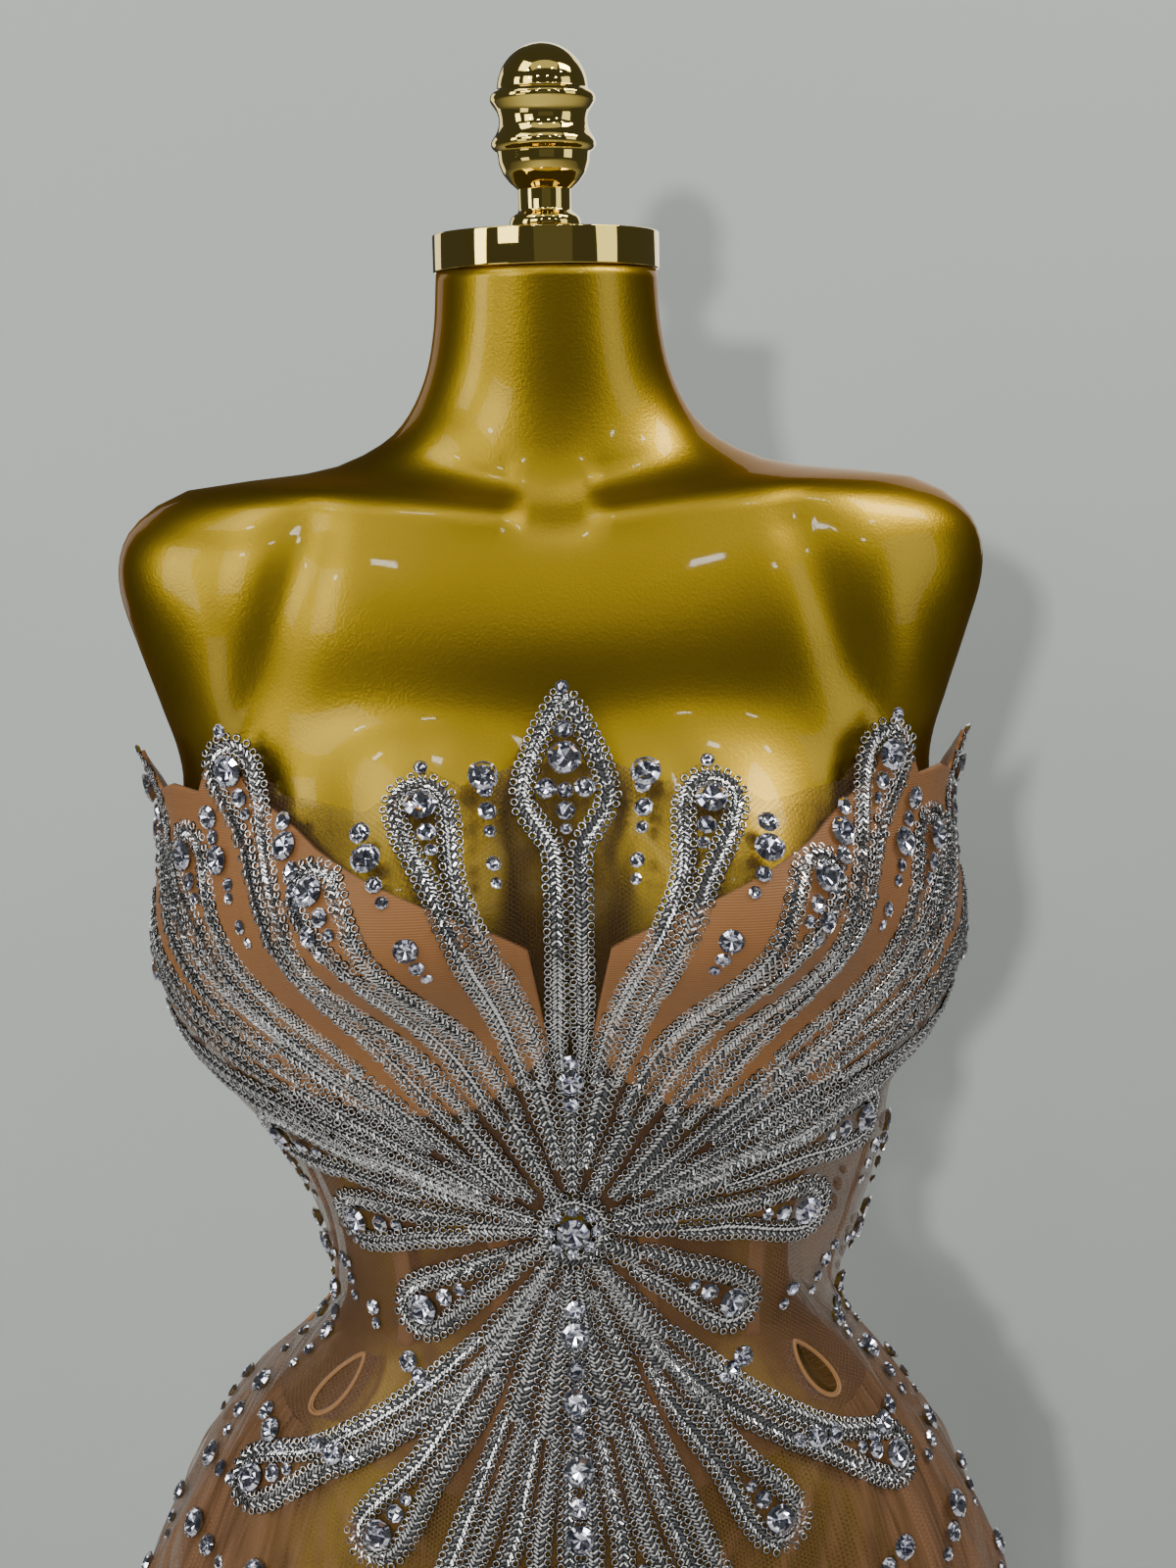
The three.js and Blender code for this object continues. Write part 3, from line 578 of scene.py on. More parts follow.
MM_PER_DEGREE = 2.6  # of cloth, where it lies flat


def creased(angle, height, rows):
    """How far soft troughs and ridges move the cloth. A row gives an angle and a height, then a direction
    in degrees, a length, a depth, a width and a bow in millimetres."""
    out = np.zeros_like(angle)
    for a0, h0, direction, length, depth, width, bow in rows:
        c, s = math.cos(math.radians(direction)), math.sin(math.radians(direction))
        dx, dz = (angle - a0) * MM_PER_DEGREE, height - h0
        f = (dx * c + dz * s) / length
        aside = dz * c - dx * s - bow * np.clip(f, 0, 1) ** 2
        taper = np.sin(np.pi * np.clip(f, 0, 1)) ** 0.8
        out += depth * taper * np.exp(-((aside / width) ** 2))
    return out


def ripple(angle, height, size):
    """The slight unevenness that hand sewing leaves in net."""
    return size * (
        np.sin(angle * 0.61 + height * 0.083)
        + 0.7 * np.sin(angle * 1.13 - height * 0.127 + 1.7)
        + 0.5 * np.sin(angle * 2.3 + height * 0.051 + 0.6)
    )


def both_sides(rows):
    """The rows of creases and their mirror images, which are a little shallower."""
    return rows + [(-a, h, 180 - d, length, depth * 0.9, width, -bow) for a, h, d, length, depth, width, bow in rows]


COVER_OF_A_FOLD = 0.15  # for each millimetre that it's deep


def cloth_object(name, columns, rows, angles, creases=(), uneven=0.25, lift=0.0, cover=None):
    """A panel of thin cloth on the surface, with its creases. It keeps its flat place for the weave, and
    how much of the light the net between its threads holds back, which is more where it's folded."""

    def place(u, v):
        angle, height = angles(u, v)
        out = creased(angle, height, creases) + ripple(angle, height, uneven) + lift
        return cloth_point(angle, height) + cloth_normal(angle, height) * out[:, None]

    def store(u, v):
        angle, height = angles(u, v)
        covered = np.zeros_like(angle) if cover is None else cover(angle, height)
        folded = COVER_OF_A_FOLD * np.abs(creased(angle, height, creases))
        return np.stack([angle * MM_PER_DEGREE, height, covered + folded], axis=-1)

    return grid_object(name, columns, rows, place, store=store)


def even(amount):
    """The same cover everywhere."""
    return lambda angle, height: np.full_like(angle, amount)


NET_PITCH = 1.8
THREAD_EDGE = 0.2  # how softly a thread begins, as a share of the wave it's cut from
hex_net = bpy.data.node_groups.new("hexagonal_net", "ShaderNodeTree")
for label in ("Thread", "Thread Cover", "Between"):
    hex_net.interface.new_socket(label, in_out="INPUT", socket_type="NodeSocketFloat")
hex_net.interface.new_socket("Cover", in_out="OUTPUT", socket_type="NodeSocketFloat")
net_in = node(hex_net, "NodeGroupInput").outputs
net_flat = node(hex_net, "ShaderNodeAttribute", attribute_name="cloth").outputs["Vector"]
most = None
for turn in (0, math.pi / 3, 2 * math.pi / 3):
    across = (2 * math.pi / NET_PITCH * math.cos(turn), 2 * math.pi / NET_PITCH * math.sin(turn), 0)
    dot = node(hex_net, "ShaderNodeVectorMath", {0: net_flat, 1: across}, operation="DOT_PRODUCT")
    wave = node(hex_net, "ShaderNodeMath", {0: dot.outputs["Value"]}, operation="SINE").outputs[0]
    most = wave if most is None else node(hex_net, "ShaderNodeMath", {0: most, 1: wave}, operation="MAXIMUM").outputs[0]
thread_top = node(hex_net, "ShaderNodeMath", {0: net_in["Thread"], 1: THREAD_EDGE}).outputs[0]
threads = {
    "Value": most,
    "From Min": net_in["Thread"],
    "From Max": thread_top,
    "To Min": net_in["Between"],
    "To Max": net_in["Thread Cover"],
}
node(hex_net, "NodeGroupOutput", {"Cover": node(hex_net, "ShaderNodeMapRange", threads).outputs["Result"]})


def net_shader(name, color, thread, thread_cover, sheen=0.25):
    """Hexagonal net: three sets of fine threads, and between them the cover that the cloth keeps."""
    made, tree, principled = shader(name, color, 0.6, Sheen_Weight=sheen, Sheen_Roughness=0.4)
    flat = node(tree, "ShaderNodeAttribute", attribute_name="cloth").outputs["Vector"]
    parts = node(tree, "ShaderNodeSeparateXYZ", {"Vector": flat})
    net = node(tree, "ShaderNodeGroup", name="net", node_tree=hex_net)
    net.inputs["Thread"].default_value = thread
    net.inputs["Thread Cover"].default_value = thread_cover
    tree.links.new(parts.outputs["Z"], net.inputs["Between"])
    tree.links.new(net.outputs["Cover"], principled.inputs["Alpha"])
    return made


dark_net = net_shader("dark_net", (0.075, 0.036, 0.017), 0.84, 0.72)
waist_net = net_shader("waist_net", (0.12, 0.056, 0.024), 0.78, 0.80)
tan_net = net_shader("tan_net", (0.15, 0.072, 0.030), 0.78, 0.66, 0.1)
back_net = net_shader("back_net", (0.24, 0.115, 0.052), 0.78, 0.85)

# The skirt's net lies in fine gathers, which run down it and are thicker where they crowd together.
GATHERS_A_MM = (0.40, 0.016, 0)
CROWDING = {"From Min": 0.36, "From Max": 0.64, "To Min": 0.5, "To Max": 1.5}
tan_tree = tan_net.node_tree
tan_flat = tan_tree.nodes["Attribute"].outputs["Vector"]
tan_cover = tan_tree.nodes["Separate XYZ"].outputs["Z"]
drawn_out = node(tan_tree, "ShaderNodeVectorMath", {0: tan_flat, 1: GATHERS_A_MM}, operation="MULTIPLY").outputs[0]
gathers = node(tan_tree, "ShaderNodeTexNoise", {"Scale": 1.0, "Detail": 3, "Vector": drawn_out}).outputs["Fac"]
crowding = node(tan_tree, "ShaderNodeMapRange", {"Value": gathers, **CROWDING}).outputs["Result"]
thinnest = node(tan_tree, "ShaderNodeMath", {0: tan_cover, 1: 0.06}).outputs[0]
crowded = node(tan_tree, "ShaderNodeMath", {0: thinnest, 1: crowding}, operation="MULTIPLY").outputs[0]
tan_tree.links.new(crowded, tan_tree.nodes["net"].inputs["Between"])
add_bump(tan_tree, tan_tree.nodes["Principled BSDF"], gathers, 0.7, 0.0015)


def thicken(piece, thickness):
    """Gives a sheet its thickness in millimetres, half to each side."""
    wall = piece.modifiers.new("wall", "SOLIDIFY")
    wall.thickness = thickness * MM
    wall.offset = 0


# ---------------------------------------------------------------- the front gore and front panels
# Dark net, cut close to the braid at its upper edge. The gore stands up in a point between the cups,
# and is sewn to the front panels and the cups down both its sides.

gore = cloth_object("gore_net", 22, 90, fan_place(across_top(0.5), from_heart, to_edge), cover=even(0.07))
finish_piece(gore, dark_net, "net", "front_gore")

for side, hand in SIDES:
    panel = cloth_object(
        f"front_net_{hand}", 96, 26, fan_place(one_side(side, 0.5, 6.5), from_heart, to_cup), cover=even(0.55)
    )
    finish_piece(panel, dark_net, "net", f"front_panel_{hand}")

# ---------------------------------------------------------------- the cups
# Moulded foam covered in tan power mesh. Their upper edge rises to a crown of tips, where the mesh is
# cut close to the braid. A seam runs along their lower edge.

DARK_THREAD = (0.070, 0.034, 0.017, 1)
CUP_TAN = (0.185, 0.080, 0.024, 1)
cup_mesh = net_shader("cup_mesh", DARK_THREAD[:3], 0.86, 0.55, 0.05)
cup_tree = cup_mesh.node_tree
cup_shader = cup_tree.nodes["Principled BSDF"]
cup_flat = cup_tree.nodes["Attribute"].outputs["Vector"]
cup_net = cup_tree.nodes["net"]

# The third number that the cups' cloth keeps is how far it lies below the foam's edge.
below_edge = cup_tree.nodes["Separate XYZ"].outputs["Z"]
foam_edge = {"Value": below_edge, "From Min": -0.5, "From Max": 0.5}
foam = node(cup_tree, "ShaderNodeMapRange", foam_edge).outputs["Result"]
FACTOR, COLOR_A, COLOR_B, COLOR_OUT = 0, 6, 7, 2  # the sockets that a mix of colours uses
cup_tint = node(cup_tree, "ShaderNodeMix", {FACTOR: foam, COLOR_A: DARK_THREAD, COLOR_B: CUP_TAN}, data_type="RGBA")
cup_tree.links.new(cup_tint.outputs[COLOR_OUT], cup_shader.inputs["Base Color"])
foam_cover = node(cup_tree, "ShaderNodeMapRange", {"Value": foam, "To Min": 0.02}).outputs["Result"]
cup_tree.links.new(foam_cover, cup_net.inputs["Between"])
full_cover = node(cup_tree, "ShaderNodeMath", {0: foam, 1: cup_net.outputs["Cover"]}, operation="MAXIMUM")
cup_tree.links.new(full_cover.outputs[0], cup_shader.inputs["Alpha"])
ribs = {"Scale": 0.28, "Distortion": 0.6, "Vector": cup_flat}
cup_weave = node(cup_tree, "ShaderNodeTexWave", ribs, wave_type="BANDS", bands_direction="Y").outputs["Fac"]
add_bump(cup_tree, cup_shader, cup_weave, 0.35, 0.0006)

# angle, then the height of the foam's upper edge, a sweetheart line above which the net goes on alone
FOAM_EDGE = np.array([[5, 1117], [15, 1130], [30, 1148], [45, 1165], [58, 1186], [68, 1235]], float)


def below_foam_edge(angle, height):
    """Millimetres down from the foam's edge."""
    return np.interp(np.abs(angle), FOAM_EDGE[:, 0], FOAM_EDGE[:, 1]) - height


for side, hand in SIDES:
    cup_place = fan_place(one_side(side, 0.5, 6.5), to_cup, to_edge)
    cup = cloth_object(f"cup_mesh_{hand}", 110, 60, cup_place, uneven=0.1, cover=below_foam_edge)
    thicken(cup, 2.0)
    finish_piece(cup, cup_mesh, "cup_mesh", f"cup_{hand}")

# ---------------------------------------------------------------- the side panels
# Dark net from the sunburst's centre round to the side seam. On the -X side it lies on the waist, and
# on the +X side it spans the hollow of the waist, so it pulls into a few long creases.

SIDE_CREASES = [
    # an angle and a height, a direction, a length, a depth, a width, a bow
    (60, 1010, 12, 60, 0.9, 3.2, 5),
    (66, 990, 4, 58, -1.1, 3.6, -4),
    (58, 968, -6, 70, 0.8, 3.0, 3),
    (70, 952, -14, 48, -0.9, 2.8, -3),
    (64, 1040, 20, 66, -0.8, 3.4, 4),
    (72, 932, -20, 40, 1.0, 2.6, 2),
]
for side, hand in SIDES:
    rows = [(side * a, h, d if side > 0 else 180 - d, *rest) for a, h, d, *rest in SIDE_CREASES]
    side_place = fan_place(one_side(side, 6.5, 10.5), from_heart, to_side)
    panel = cloth_object(f"side_net_{hand}", 60, 80, side_place, rows, cover=even(0.26))
    finish_piece(panel, waist_net, "net", f"side_panel_{hand}")

# ---------------------------------------------------------------- the basque and its bound cut-outs
# Dark net from the waist seam to the hips, with a teardrop cut-out near each side. Tan binding is
# rolled over the cut edge and stitched down.

CUT_OUT = {"angle": 62, "height": 905, "half_width": 10, "half_height": 15, "slant": 22}
CUT_SIDES = 48
CUT_INSET = 0.3
CUTTER_REACH = 8


def cut_outline(side, inset, count):
    """Angles and heights round a cut-out, a teardrop that leans towards the centre front, at a distance
    inside its drawn edge."""
    turn = np.linspace(0, 2 * np.pi, count, endpoint=False)
    a0, h0 = CUT_OUT["angle"], CUT_OUT["height"]
    degree = np.linalg.norm(cloth_point(side * (a0 + 1), h0) - cloth_point(side * a0, h0))
    lean = math.radians(CUT_OUT["slant"])
    v = (CUT_OUT["half_height"] - inset) * np.cos(turn)
    u = (CUT_OUT["half_width"] - inset) * np.sin(turn) * np.abs(np.sin(turn / 2)) ** 0.6
    across = u * math.cos(lean) - v * math.sin(lean)
    up = u * math.sin(lean) + v * math.cos(lean)
    return side * (a0 + across / degree), h0 + up


BASQUE_COVER = 0.36
CUT_GATHERS = [
    # short gathers that leave a cut-out
    (64, 924, 62, 22, 0.9, 1.9, 2),
    (60, 926, 98, 26, -0.8, 2.1, -2),
    (56, 922, 128, 34, 0.9, 2.2, 3),
    (54, 916, 151, 42, -0.9, 2.3, 4),
    (53, 910, 168, 52, 0.8, 2.4, 2),
    (53, 903, 187, 46, -0.9, 2.2, -3),
    (54, 896, 204, 50, 0.9, 2.4, -4),
    (56, 890, 221, 40, -0.8, 2.1, 3),
    (60, 886, 243, 30, 0.8, 1.9, 2),
    (70, 892, 305, 26, -0.8, 2.0, -2),
    (73, 900, 334, 34, 0.9, 2.2, 3),
    (72, 908, 4, 30, -0.8, 2.0, 2),
    (69, 917, 33, 26, 0.8, 2.0, -2),
    (46, 928, 158, 44, 0.6, 2.6, 3),
    (44, 888, 196, 48, -0.6, 2.8, -3),
    (84, 902, 348, 26, -0.7, 2.4, 2),
]

basque = cloth_object(
    "basque_net",
    190,
    64,
    fan_place(across_bottom(10.5), from_heart, to_hip),
    both_sides(CUT_GATHERS),
    cover=even(BASQUE_COVER),
)
whole_points = np.array([vert.co for vert in basque.data.vertices])
whole_flat = np.array([value.vector for value in basque.data.attributes["cloth"].data])
cutters = []
for side in (-1, 1):
    angle, height = cut_outline(side, CUT_INSET, CUT_SIDES)
    middle, out = cloth_point(angle, height), cloth_normal(angle, height)
    cutter = bmesh.new()
    bmesh.ops.create_cone(cutter, cap_ends=True, segments=CUT_SIDES, radius1=1, radius2=1, depth=1)
    for vert in cutter.verts:
        i = round(math.atan2(vert.co.x, -vert.co.y) / (2 * math.pi / CUT_SIDES)) % CUT_SIDES
        vert.co = Vector((middle[i] + out[i] * math.copysign(CUTTER_REACH, vert.co.z)) * MM)
    bmesh.ops.recalc_face_normals(cutter, faces=cutter.faces)
    mesh = bpy.data.meshes.new("cutter")
    cutter.to_mesh(mesh)
    cutter.free()
    tool = linked("cutter", mesh)
    cutters.append(tool)
    cut = basque.modifiers.new("cut_out", "BOOLEAN")
    cut.operation = "DIFFERENCE"
    cut.solver = "EXACT"
    cut.object = tool
bpy.context.view_layer.update()
graph = bpy.context.evaluated_depsgraph_get()
cut_mesh = bpy.data.meshes.new_from_object(
    basque.evaluated_get(graph), preserve_all_data_layers=True, depsgraph=graph
)
basque.modifiers.clear()
basque.data = cut_mesh

# The cut loses the cloth's flat places, so each vertex takes them from the nearest place that has one.
at_cut = np.concatenate([np.stack(cut_outline(side, CUT_INSET, CUT_SIDES), 1) for side in (-1, 1)])
cut_flat = np.column_stack([at_cut[:, 0] * MM_PER_DEGREE, at_cut[:, 1], np.full(len(at_cut), BASQUE_COVER)])
known_points = np.concatenate([whole_points, cloth_point(at_cut[:, 0], at_cut[:, 1]) * MM])
known_flat = np.concatenate([whole_flat, cut_flat])
finder = KDTree(len(known_points))
for i, known in enumerate(known_points):
    finder.insert(known, i)
finder.balance()
nearest = [finder.find(vert.co)[1] for vert in cut_mesh.vertices]
kept = cut_mesh.attributes.get("cloth") or cut_mesh.attributes.new("cloth", "FLOAT_VECTOR", "POINT")
kept.data.foreach_set("vector", known_flat[nearest].ravel())
for tool in cutters:
    bpy.data.objects.remove(tool)
finish_piece(basque, waist_net, "net", "front_basque")

trim_cloth, trim_tree, trim_shader = shader("trim_tape", (0.22, 0.105, 0.034), 0.5, Sheen_Weight=0.1)
TWILL_A_METRE = 1400
add_bump(trim_tree, trim_shader, object_noise(trim_tree, TWILL_A_METRE, 1), 0.3, 0.0004)


def as_mesh(carrier):
    """The mesh that a curve or a modifier makes, in place of the object that carries it."""
    bpy.context.view_layer.update()
    mesh = bpy.data.meshes.new_from_object(carrier.evaluated_get(bpy.context.evaluated_depsgraph_get()))
    bpy.data.objects.remove(carrier)
    return mesh


def joined(parts):
    with bpy.context.temp_override(active_object=parts[0], selected_editable_objects=parts):
        bpy.ops.object.join()
    return parts[0]


def tube_along(name, points, radius_mm, closed):
    """A round tube through points in millimetres, as a mesh."""
    curve = bpy.data.curves.new(name, "CURVE")
    curve.dimensions = "3D"
    curve.bevel_depth = radius_mm * MM
    curve.bevel_resolution = 1
    curve.use_fill_caps = not closed
    line = curve.splines.new("POLY")
    line.points.add(len(points) - 1)
    line.points.foreach_set("co", np.column_stack([points * MM, np.ones(len(points))]).ravel())
    line.use_cyclic_u = closed
    mesh = as_mesh(linked(name, curve))
    mesh.shade_smooth()
    return linked(name, mesh)


# The binding's roll and its stitched inner edge: how far inside the cut they lie, then their radii.
BINDING_ROLLS = ((0.8, 0.95), (1.9, 0.5))
BINDING_LIFT = 0.4
for side, hand in SIDES:
    rings = []
    for inset, radius in BINDING_ROLLS:
        angle, height = cut_outline(side, inset, 72)
        line = cloth_point(angle, height) + cloth_normal(angle, height) * BINDING_LIFT
        rings.append(tube_along(f"binding_{hand}", line, radius, True))
    finish_piece(joined(rings), trim_cloth, "trim", f"cutout_binding_{hand}")

# ---------------------------------------------------------------- the skirt
# Gathered tan net, sheer over the belly. It hangs from the hip seam and is pulled into soft folds that
# leave the cut-outs, and closes at the centre back. Its hem is turned up once.

HIP_PLEATS = [
    # the first eleven leave a cut-out, and the others start lower
    (58, 878, 232, 96, 2.6, 3.4, 10),
    (61, 876, 244, 118, -2.4, 3.8, 8),
    (63, 874, 254, 140, 2.8, 4.2, 6),
    (66, 872, 263, 170, -2.6, 4.6, 2),
    (69, 872, 270, 190, 2.9, 5.0, -2),
    (72, 874, 277, 200, -2.4, 5.0, -4),
    (76, 878, 284, 205, 2.7, 5.4, -5),
    (80, 884, 291, 200, -2.2, 5.2, -6),
    (85, 890, 297, 190, 2.4, 5.0, -6),
    (55, 874, 222, 84, -1.8, 3.0, 9),
    (50, 866, 214, 78, 1.5, 2.8, 7),
    (45, 860, 226, 90, -1.3, 3.2, 6),
    (40, 856, 236, 86, 1.2, 3.0, 5),
    (64, 806, 262, 120, 1.6, 4.0, 4),
    (74, 800, 272, 130, -1.8, 4.4, -3),
    (56, 812, 252, 110, -1.5, 3.8, 5),
    (47, 806, 258, 116, 1.4, 4.2, 3),
    (33, 800, 262, 120, -1.3, 5.0, 2),
    (22, 790, 266, 130, 1.2, 5.6, 2),
    (9, 780, 269, 120, -1.1, 5.0, 0),
]
BACK_PLEATS = [
    (101, 902, 276, 170, 2.2, 4.4, -4),
    (107, 904, 271, 210, -2.4, 4.8, -2),
    (113, 903, 268, 190, 2.5, 5.0, 1),
    (120, 904, 266, 230, -2.2, 5.4, 3),
    (127, 903, 269, 200, 2.3, 4.8, -2),
    (134, 904, 272, 240, -2.5, 5.2, -3),
    (141, 903, 270, 180, 2.1, 4.6, 2),
    (148, 904, 267, 220, -2.3, 5.0, 3),
    (155, 903, 271, 210, 2.4, 5.2, -1),
    (162, 904, 269, 235, -2.1, 5.0, 2),
    (169, 903, 272, 190, 2.2, 4.4, -2),
    (118, 800, 270, 140, 1.7, 5.2, 2),
    (144, 790, 268, 130, -1.6, 5.6, -2),
    (160, 810, 270, 150, 1.5, 5.0, 1),
]


def skirt_cover(angle, height):
    """Sheer over the belly, denser towards the sides, where the gathers lie closer, and double at the hem."""
    turned_up = 0.3 * (1 - smooth(HEM + 11, HEM + 13, height))
    return 0.03 + 0.56 * smooth(50, 74, np.abs(angle)) + turned_up


def back_skirt_cover(angle, height):
    """The same, and a little denser at the back."""
    return np.minimum(0.85, skirt_cover(angle, height) + 0.08 * smooth(95, 130, np.abs(angle)))


front_skirt = cloth_object(
    "skirt_front_net",
    300,
    80,
    fan_place(across_bottom(10.5), to_hip, to_edge),
    both_sides(HIP_PLEATS),
    0.35,
    cover=skirt_cover,
)
finish_piece(front_skirt, tan_net, "net", "front_skirt")


def round_place(first, last, bottom, top):
    """Angles and heights for a grid round the back."""

    def angles(u, v):
        angle = first + (last - first) * u
        low, high = bottom(angle), top(angle)
        return angle, low + (high - low) * v

    return angles


def level(height):
    """One height at every angle."""
    return lambda angle: np.full_like(angle, float(height))


BACK_TOP_MIDDLE = 1122
BACK_TOP_SIDE = 1170


def back_top(angle):
    """The height of the back's upper edge, which falls from the side seam to the closing."""
    to_side = (BACK_EDGE - np.abs(angle)) / (BACK_EDGE - SIDE_SEAM)
    return BACK_TOP_MIDDLE + (BACK_TOP_SIDE - BACK_TOP_MIDDLE) * np.clip(to_side, 0, 1) ** 1.6


for side, hand in SIDES:
    ends = (SIDE_SEAM, BACK_EDGE) if side > 0 else (-BACK_EDGE, -SIDE_SEAM)
    skirt = cloth_object(
        f"skirt_back_net_{hand}",
        110,
        60,
        round_place(*ends, level(HEM), level(SIDE_WAIST)),
        both_sides(BACK_PLEATS),
        0.35,
        cover=back_skirt_cover,
    )
    finish_piece(skirt, tan_net, "net", f"back_skirt_{hand}")

# ---------------------------------------------------------------- the back bodice, placket and bones
# Two panels of doubled net, closed at the centre back by hooks and eyes over a placket of tan tape.
# Boning channels of the same tape are stitched inside the bodice, four a side.

BACK_CREASES = [
    (118, 930, 68, 80, 0.8, 3.0, 4),
    (131, 960, 112, 70, -0.9, 3.4, -3),
    (150, 925, 84, 90, 0.8, 3.2, 3),
    (160, 985, 30, 60, -0.7, 3.0, 4),
]
for side, hand in SIDES:
    ends = (SIDE_SEAM, BACK_EDGE) if side > 0 else (-BACK_EDGE, -SIDE_SEAM)
    back_place = round_place(*ends, level(SIDE_WAIST), back_top)
    panel = cloth_object(f"back_net_{hand}", 44, 60, back_place, both_sides(BACK_CREASES), 0.2, cover=even(0.42))
    finish_piece(panel, back_net, "net", f"back_panel_{hand}")

STRIP_INWARD = 2.9


def strip_object(name, columns, rows, first, last, bottom, top):
    """A strip of tape inside the cloth, between two angles and two heights."""
    strip_place = round_place(first, last, level(bottom), level(top))
    strip = cloth_object(name, columns, rows, strip_place, uneven=0.0, lift=-STRIP_INWARD)
    thicken(strip, 1.0)
    return strip


placket = strip_object("placket_tape", 8, 60, 174.5, 185.5, 770, 1118)
finish_piece(placket, trim_cloth, "trim", "back_placket")

BONE_ROWS = [(22, 872, 1026), (50, 925, 1036), (122, 930, 1134), (152, 930, 1114)]  # angle, bottom, top
BONE_HALF_WIDTH = 4.5
for side, hand in SIDES:
    for i, (angle, bottom, top) in enumerate(BONE_ROWS):
        middle = (bottom + top) / 2
        degree = np.linalg.norm(cloth_point(side * (angle + 1), middle) - cloth_point(side * angle, middle))
        half = BONE_HALF_WIDTH / degree
        bone = strip_object(f"bone_tape_{i + 1}_{hand}", 4, 40, side * angle - half, side * angle + half, bottom, top)
        finish_piece(bone, trim_cloth, "trim", f"bone_{i + 1}_{hand}")

# ---------------------------------------------------------------- the side seams' piping
# A narrow piping of the same tan tape covers each side seam of the bodice. It's stitched down from the
# hip seam up to the cup.

PIPING_TOP = 1164
PIPING_LIFT = 0.6
PIPING_RADIUS = 1.2
for side, hand in SIDES:
    seam_height = np.linspace(SIDE_WAIST + 1, PIPING_TOP, 120)
    seam_angle = np.full_like(seam_height, side * SIDE_SEAM)
    seam = cloth_point(seam_angle, seam_height) + cloth_normal(seam_angle, seam_height) * PIPING_LIFT
    finish_piece(tube_along(f"side_piping_{hand}", seam, PIPING_RADIUS, False), trim_cloth, "trim")

# ---------------------------------------------------------------- small things, placed many at a time
# The braid's stitches and the crystals repeat. A unit of each is made once and set at each of its places
# by a node group, which turns and scales it there.

placer = bpy.data.node_groups.new("place_units", "GeometryNodeTree")
placer.interface.new_socket("Geometry", in_out="INPUT", socket_type="NodeSocketGeometry")
placer.interface.new_socket("Unit", in_out="INPUT", socket_type="NodeSocketObject")
placer.interface.new_socket("Geometry", in_out="OUTPUT", socket_type="NodeSocketGeometry")
into = node(placer, "NodeGroupInput").outputs
turn_of = node(placer, "GeometryNodeInputNamedAttribute", data_type="QUATERNION")
turn_of.inputs["Name"].default_value = "turn"
size_of = node(placer, "GeometryNodeInputNamedAttribute", data_type="FLOAT_VECTOR")
size_of.inputs["Name"].default_value = "size"
unit_info = node(placer, "GeometryNodeObjectInfo", {"Object": into["Unit"]})
placing = {
    "Points": into["Geometry"],
    "Instance": unit_info.outputs["Geometry"],
    "Rotation": turn_of.outputs["Attribute"],
    "Scale": size_of.outputs["Attribute"],
}
set_down = node(placer, "GeometryNodeInstanceOnPoints", placing)
realized = node(placer, "GeometryNodeRealizeInstances", {"Geometry": set_down.outputs["Instances"]})
node(placer, "NodeGroupOutput", {"Geometry": realized.outputs["Geometry"]})


def placed(name, unit, points, forward, out, sizes):
    """One mesh with the unit at each point, its X along forward and its Z along out. Each has one size or
    three."""
    carrier = bpy.data.meshes.new(name)
    carrier.vertices.add(len(points))
    carrier.vertices.foreach_set("co", (np.asarray(points) * MM).ravel())
    turns = np.empty((len(points), 4))
    for i, (ahead, up) in enumerate(zip(forward, out)):
        z = Vector(up).normalized()
        y = z.cross(Vector(ahead)).normalized()
        x = y.cross(z)
        turns[i] = Matrix((x, y, z)).transposed().to_quaternion()
    carrier.attributes.new("turn", "QUATERNION", "POINT").data.foreach_set("value", turns.ravel())
    scale = np.repeat(sizes[:, None], 3, axis=1) if sizes.ndim == 1 else sizes
    carrier.attributes.new("size", "FLOAT_VECTOR", "POINT").data.foreach_set("vector", scale.ravel())
    holder = linked(name, carrier)
    setting = holder.modifiers.new("place", "NODES")
    setting.node_group = placer
    setting[placer.interface.items_tree["Unit"].identifier] = unit
    return linked(name, as_mesh(holder))


def unit_object(name, shape):
    """A unit to place, which isn't itself rendered."""
    mesh = bpy.data.meshes.new(name)
    shape.to_mesh(mesh)
    shape.free()
    unit = linked(name, mesh)
    unit.hide_render = True
    return unit


# ---------------------------------------------------------------- the braid
# Silver metallic braid, eleven millimetres wide: a plait of flat strips with a row of small round
# loops along each edge. Two rows follow each ray and join round a stone at its end.

rng = np.random.default_rng(11)
BRAID_PITCH = 3.7
BRAID_HALF = 5.9
BRAID_LIFT = 0.7


def shifted(angle, height, vectors):
    """The angle and height of places moved over the cloth by vectors in millimetres."""
    by_angle = (cloth_point(angle + NUDGE, height) - cloth_point(angle - NUDGE, height)) / (2 * NUDGE)
    by_height = (cloth_point(angle, height + NUDGE) - cloth_point(angle, height - NUDGE)) / (2 * NUDGE)
    aa, ah, hh = ((p * q).sum(-1) for p, q in ((by_angle, by_angle), (by_angle, by_height), (by_height, by_height)))
    va, vh = (vectors * by_angle).sum(-1), (vectors * by_height).sum(-1)
    det = aa * hh - ah * ah
    return angle + (va * hh - vh * ah) / det, height + (vh * aa - va * ah) / det


def lengths_along(points):
    """The length from the first point to each."""
    return np.concatenate([[0], np.cumsum(np.linalg.norm(np.diff(points, axis=0), axis=1))])


def half_gap(i, t):
    """The distance from a ray to the nearer of the gaps beside it, at each t."""
    here = cloth_point(*along(RAY_LINES[i], t).T)
    beside = [GAP_LINES[j] for j in (i - 1, i) if 0 <= j < len(GAP_LINES)]
    return np.min([np.linalg.norm(cloth_point(*along(line, t).T) - here, axis=1) for line in beside], axis=0)


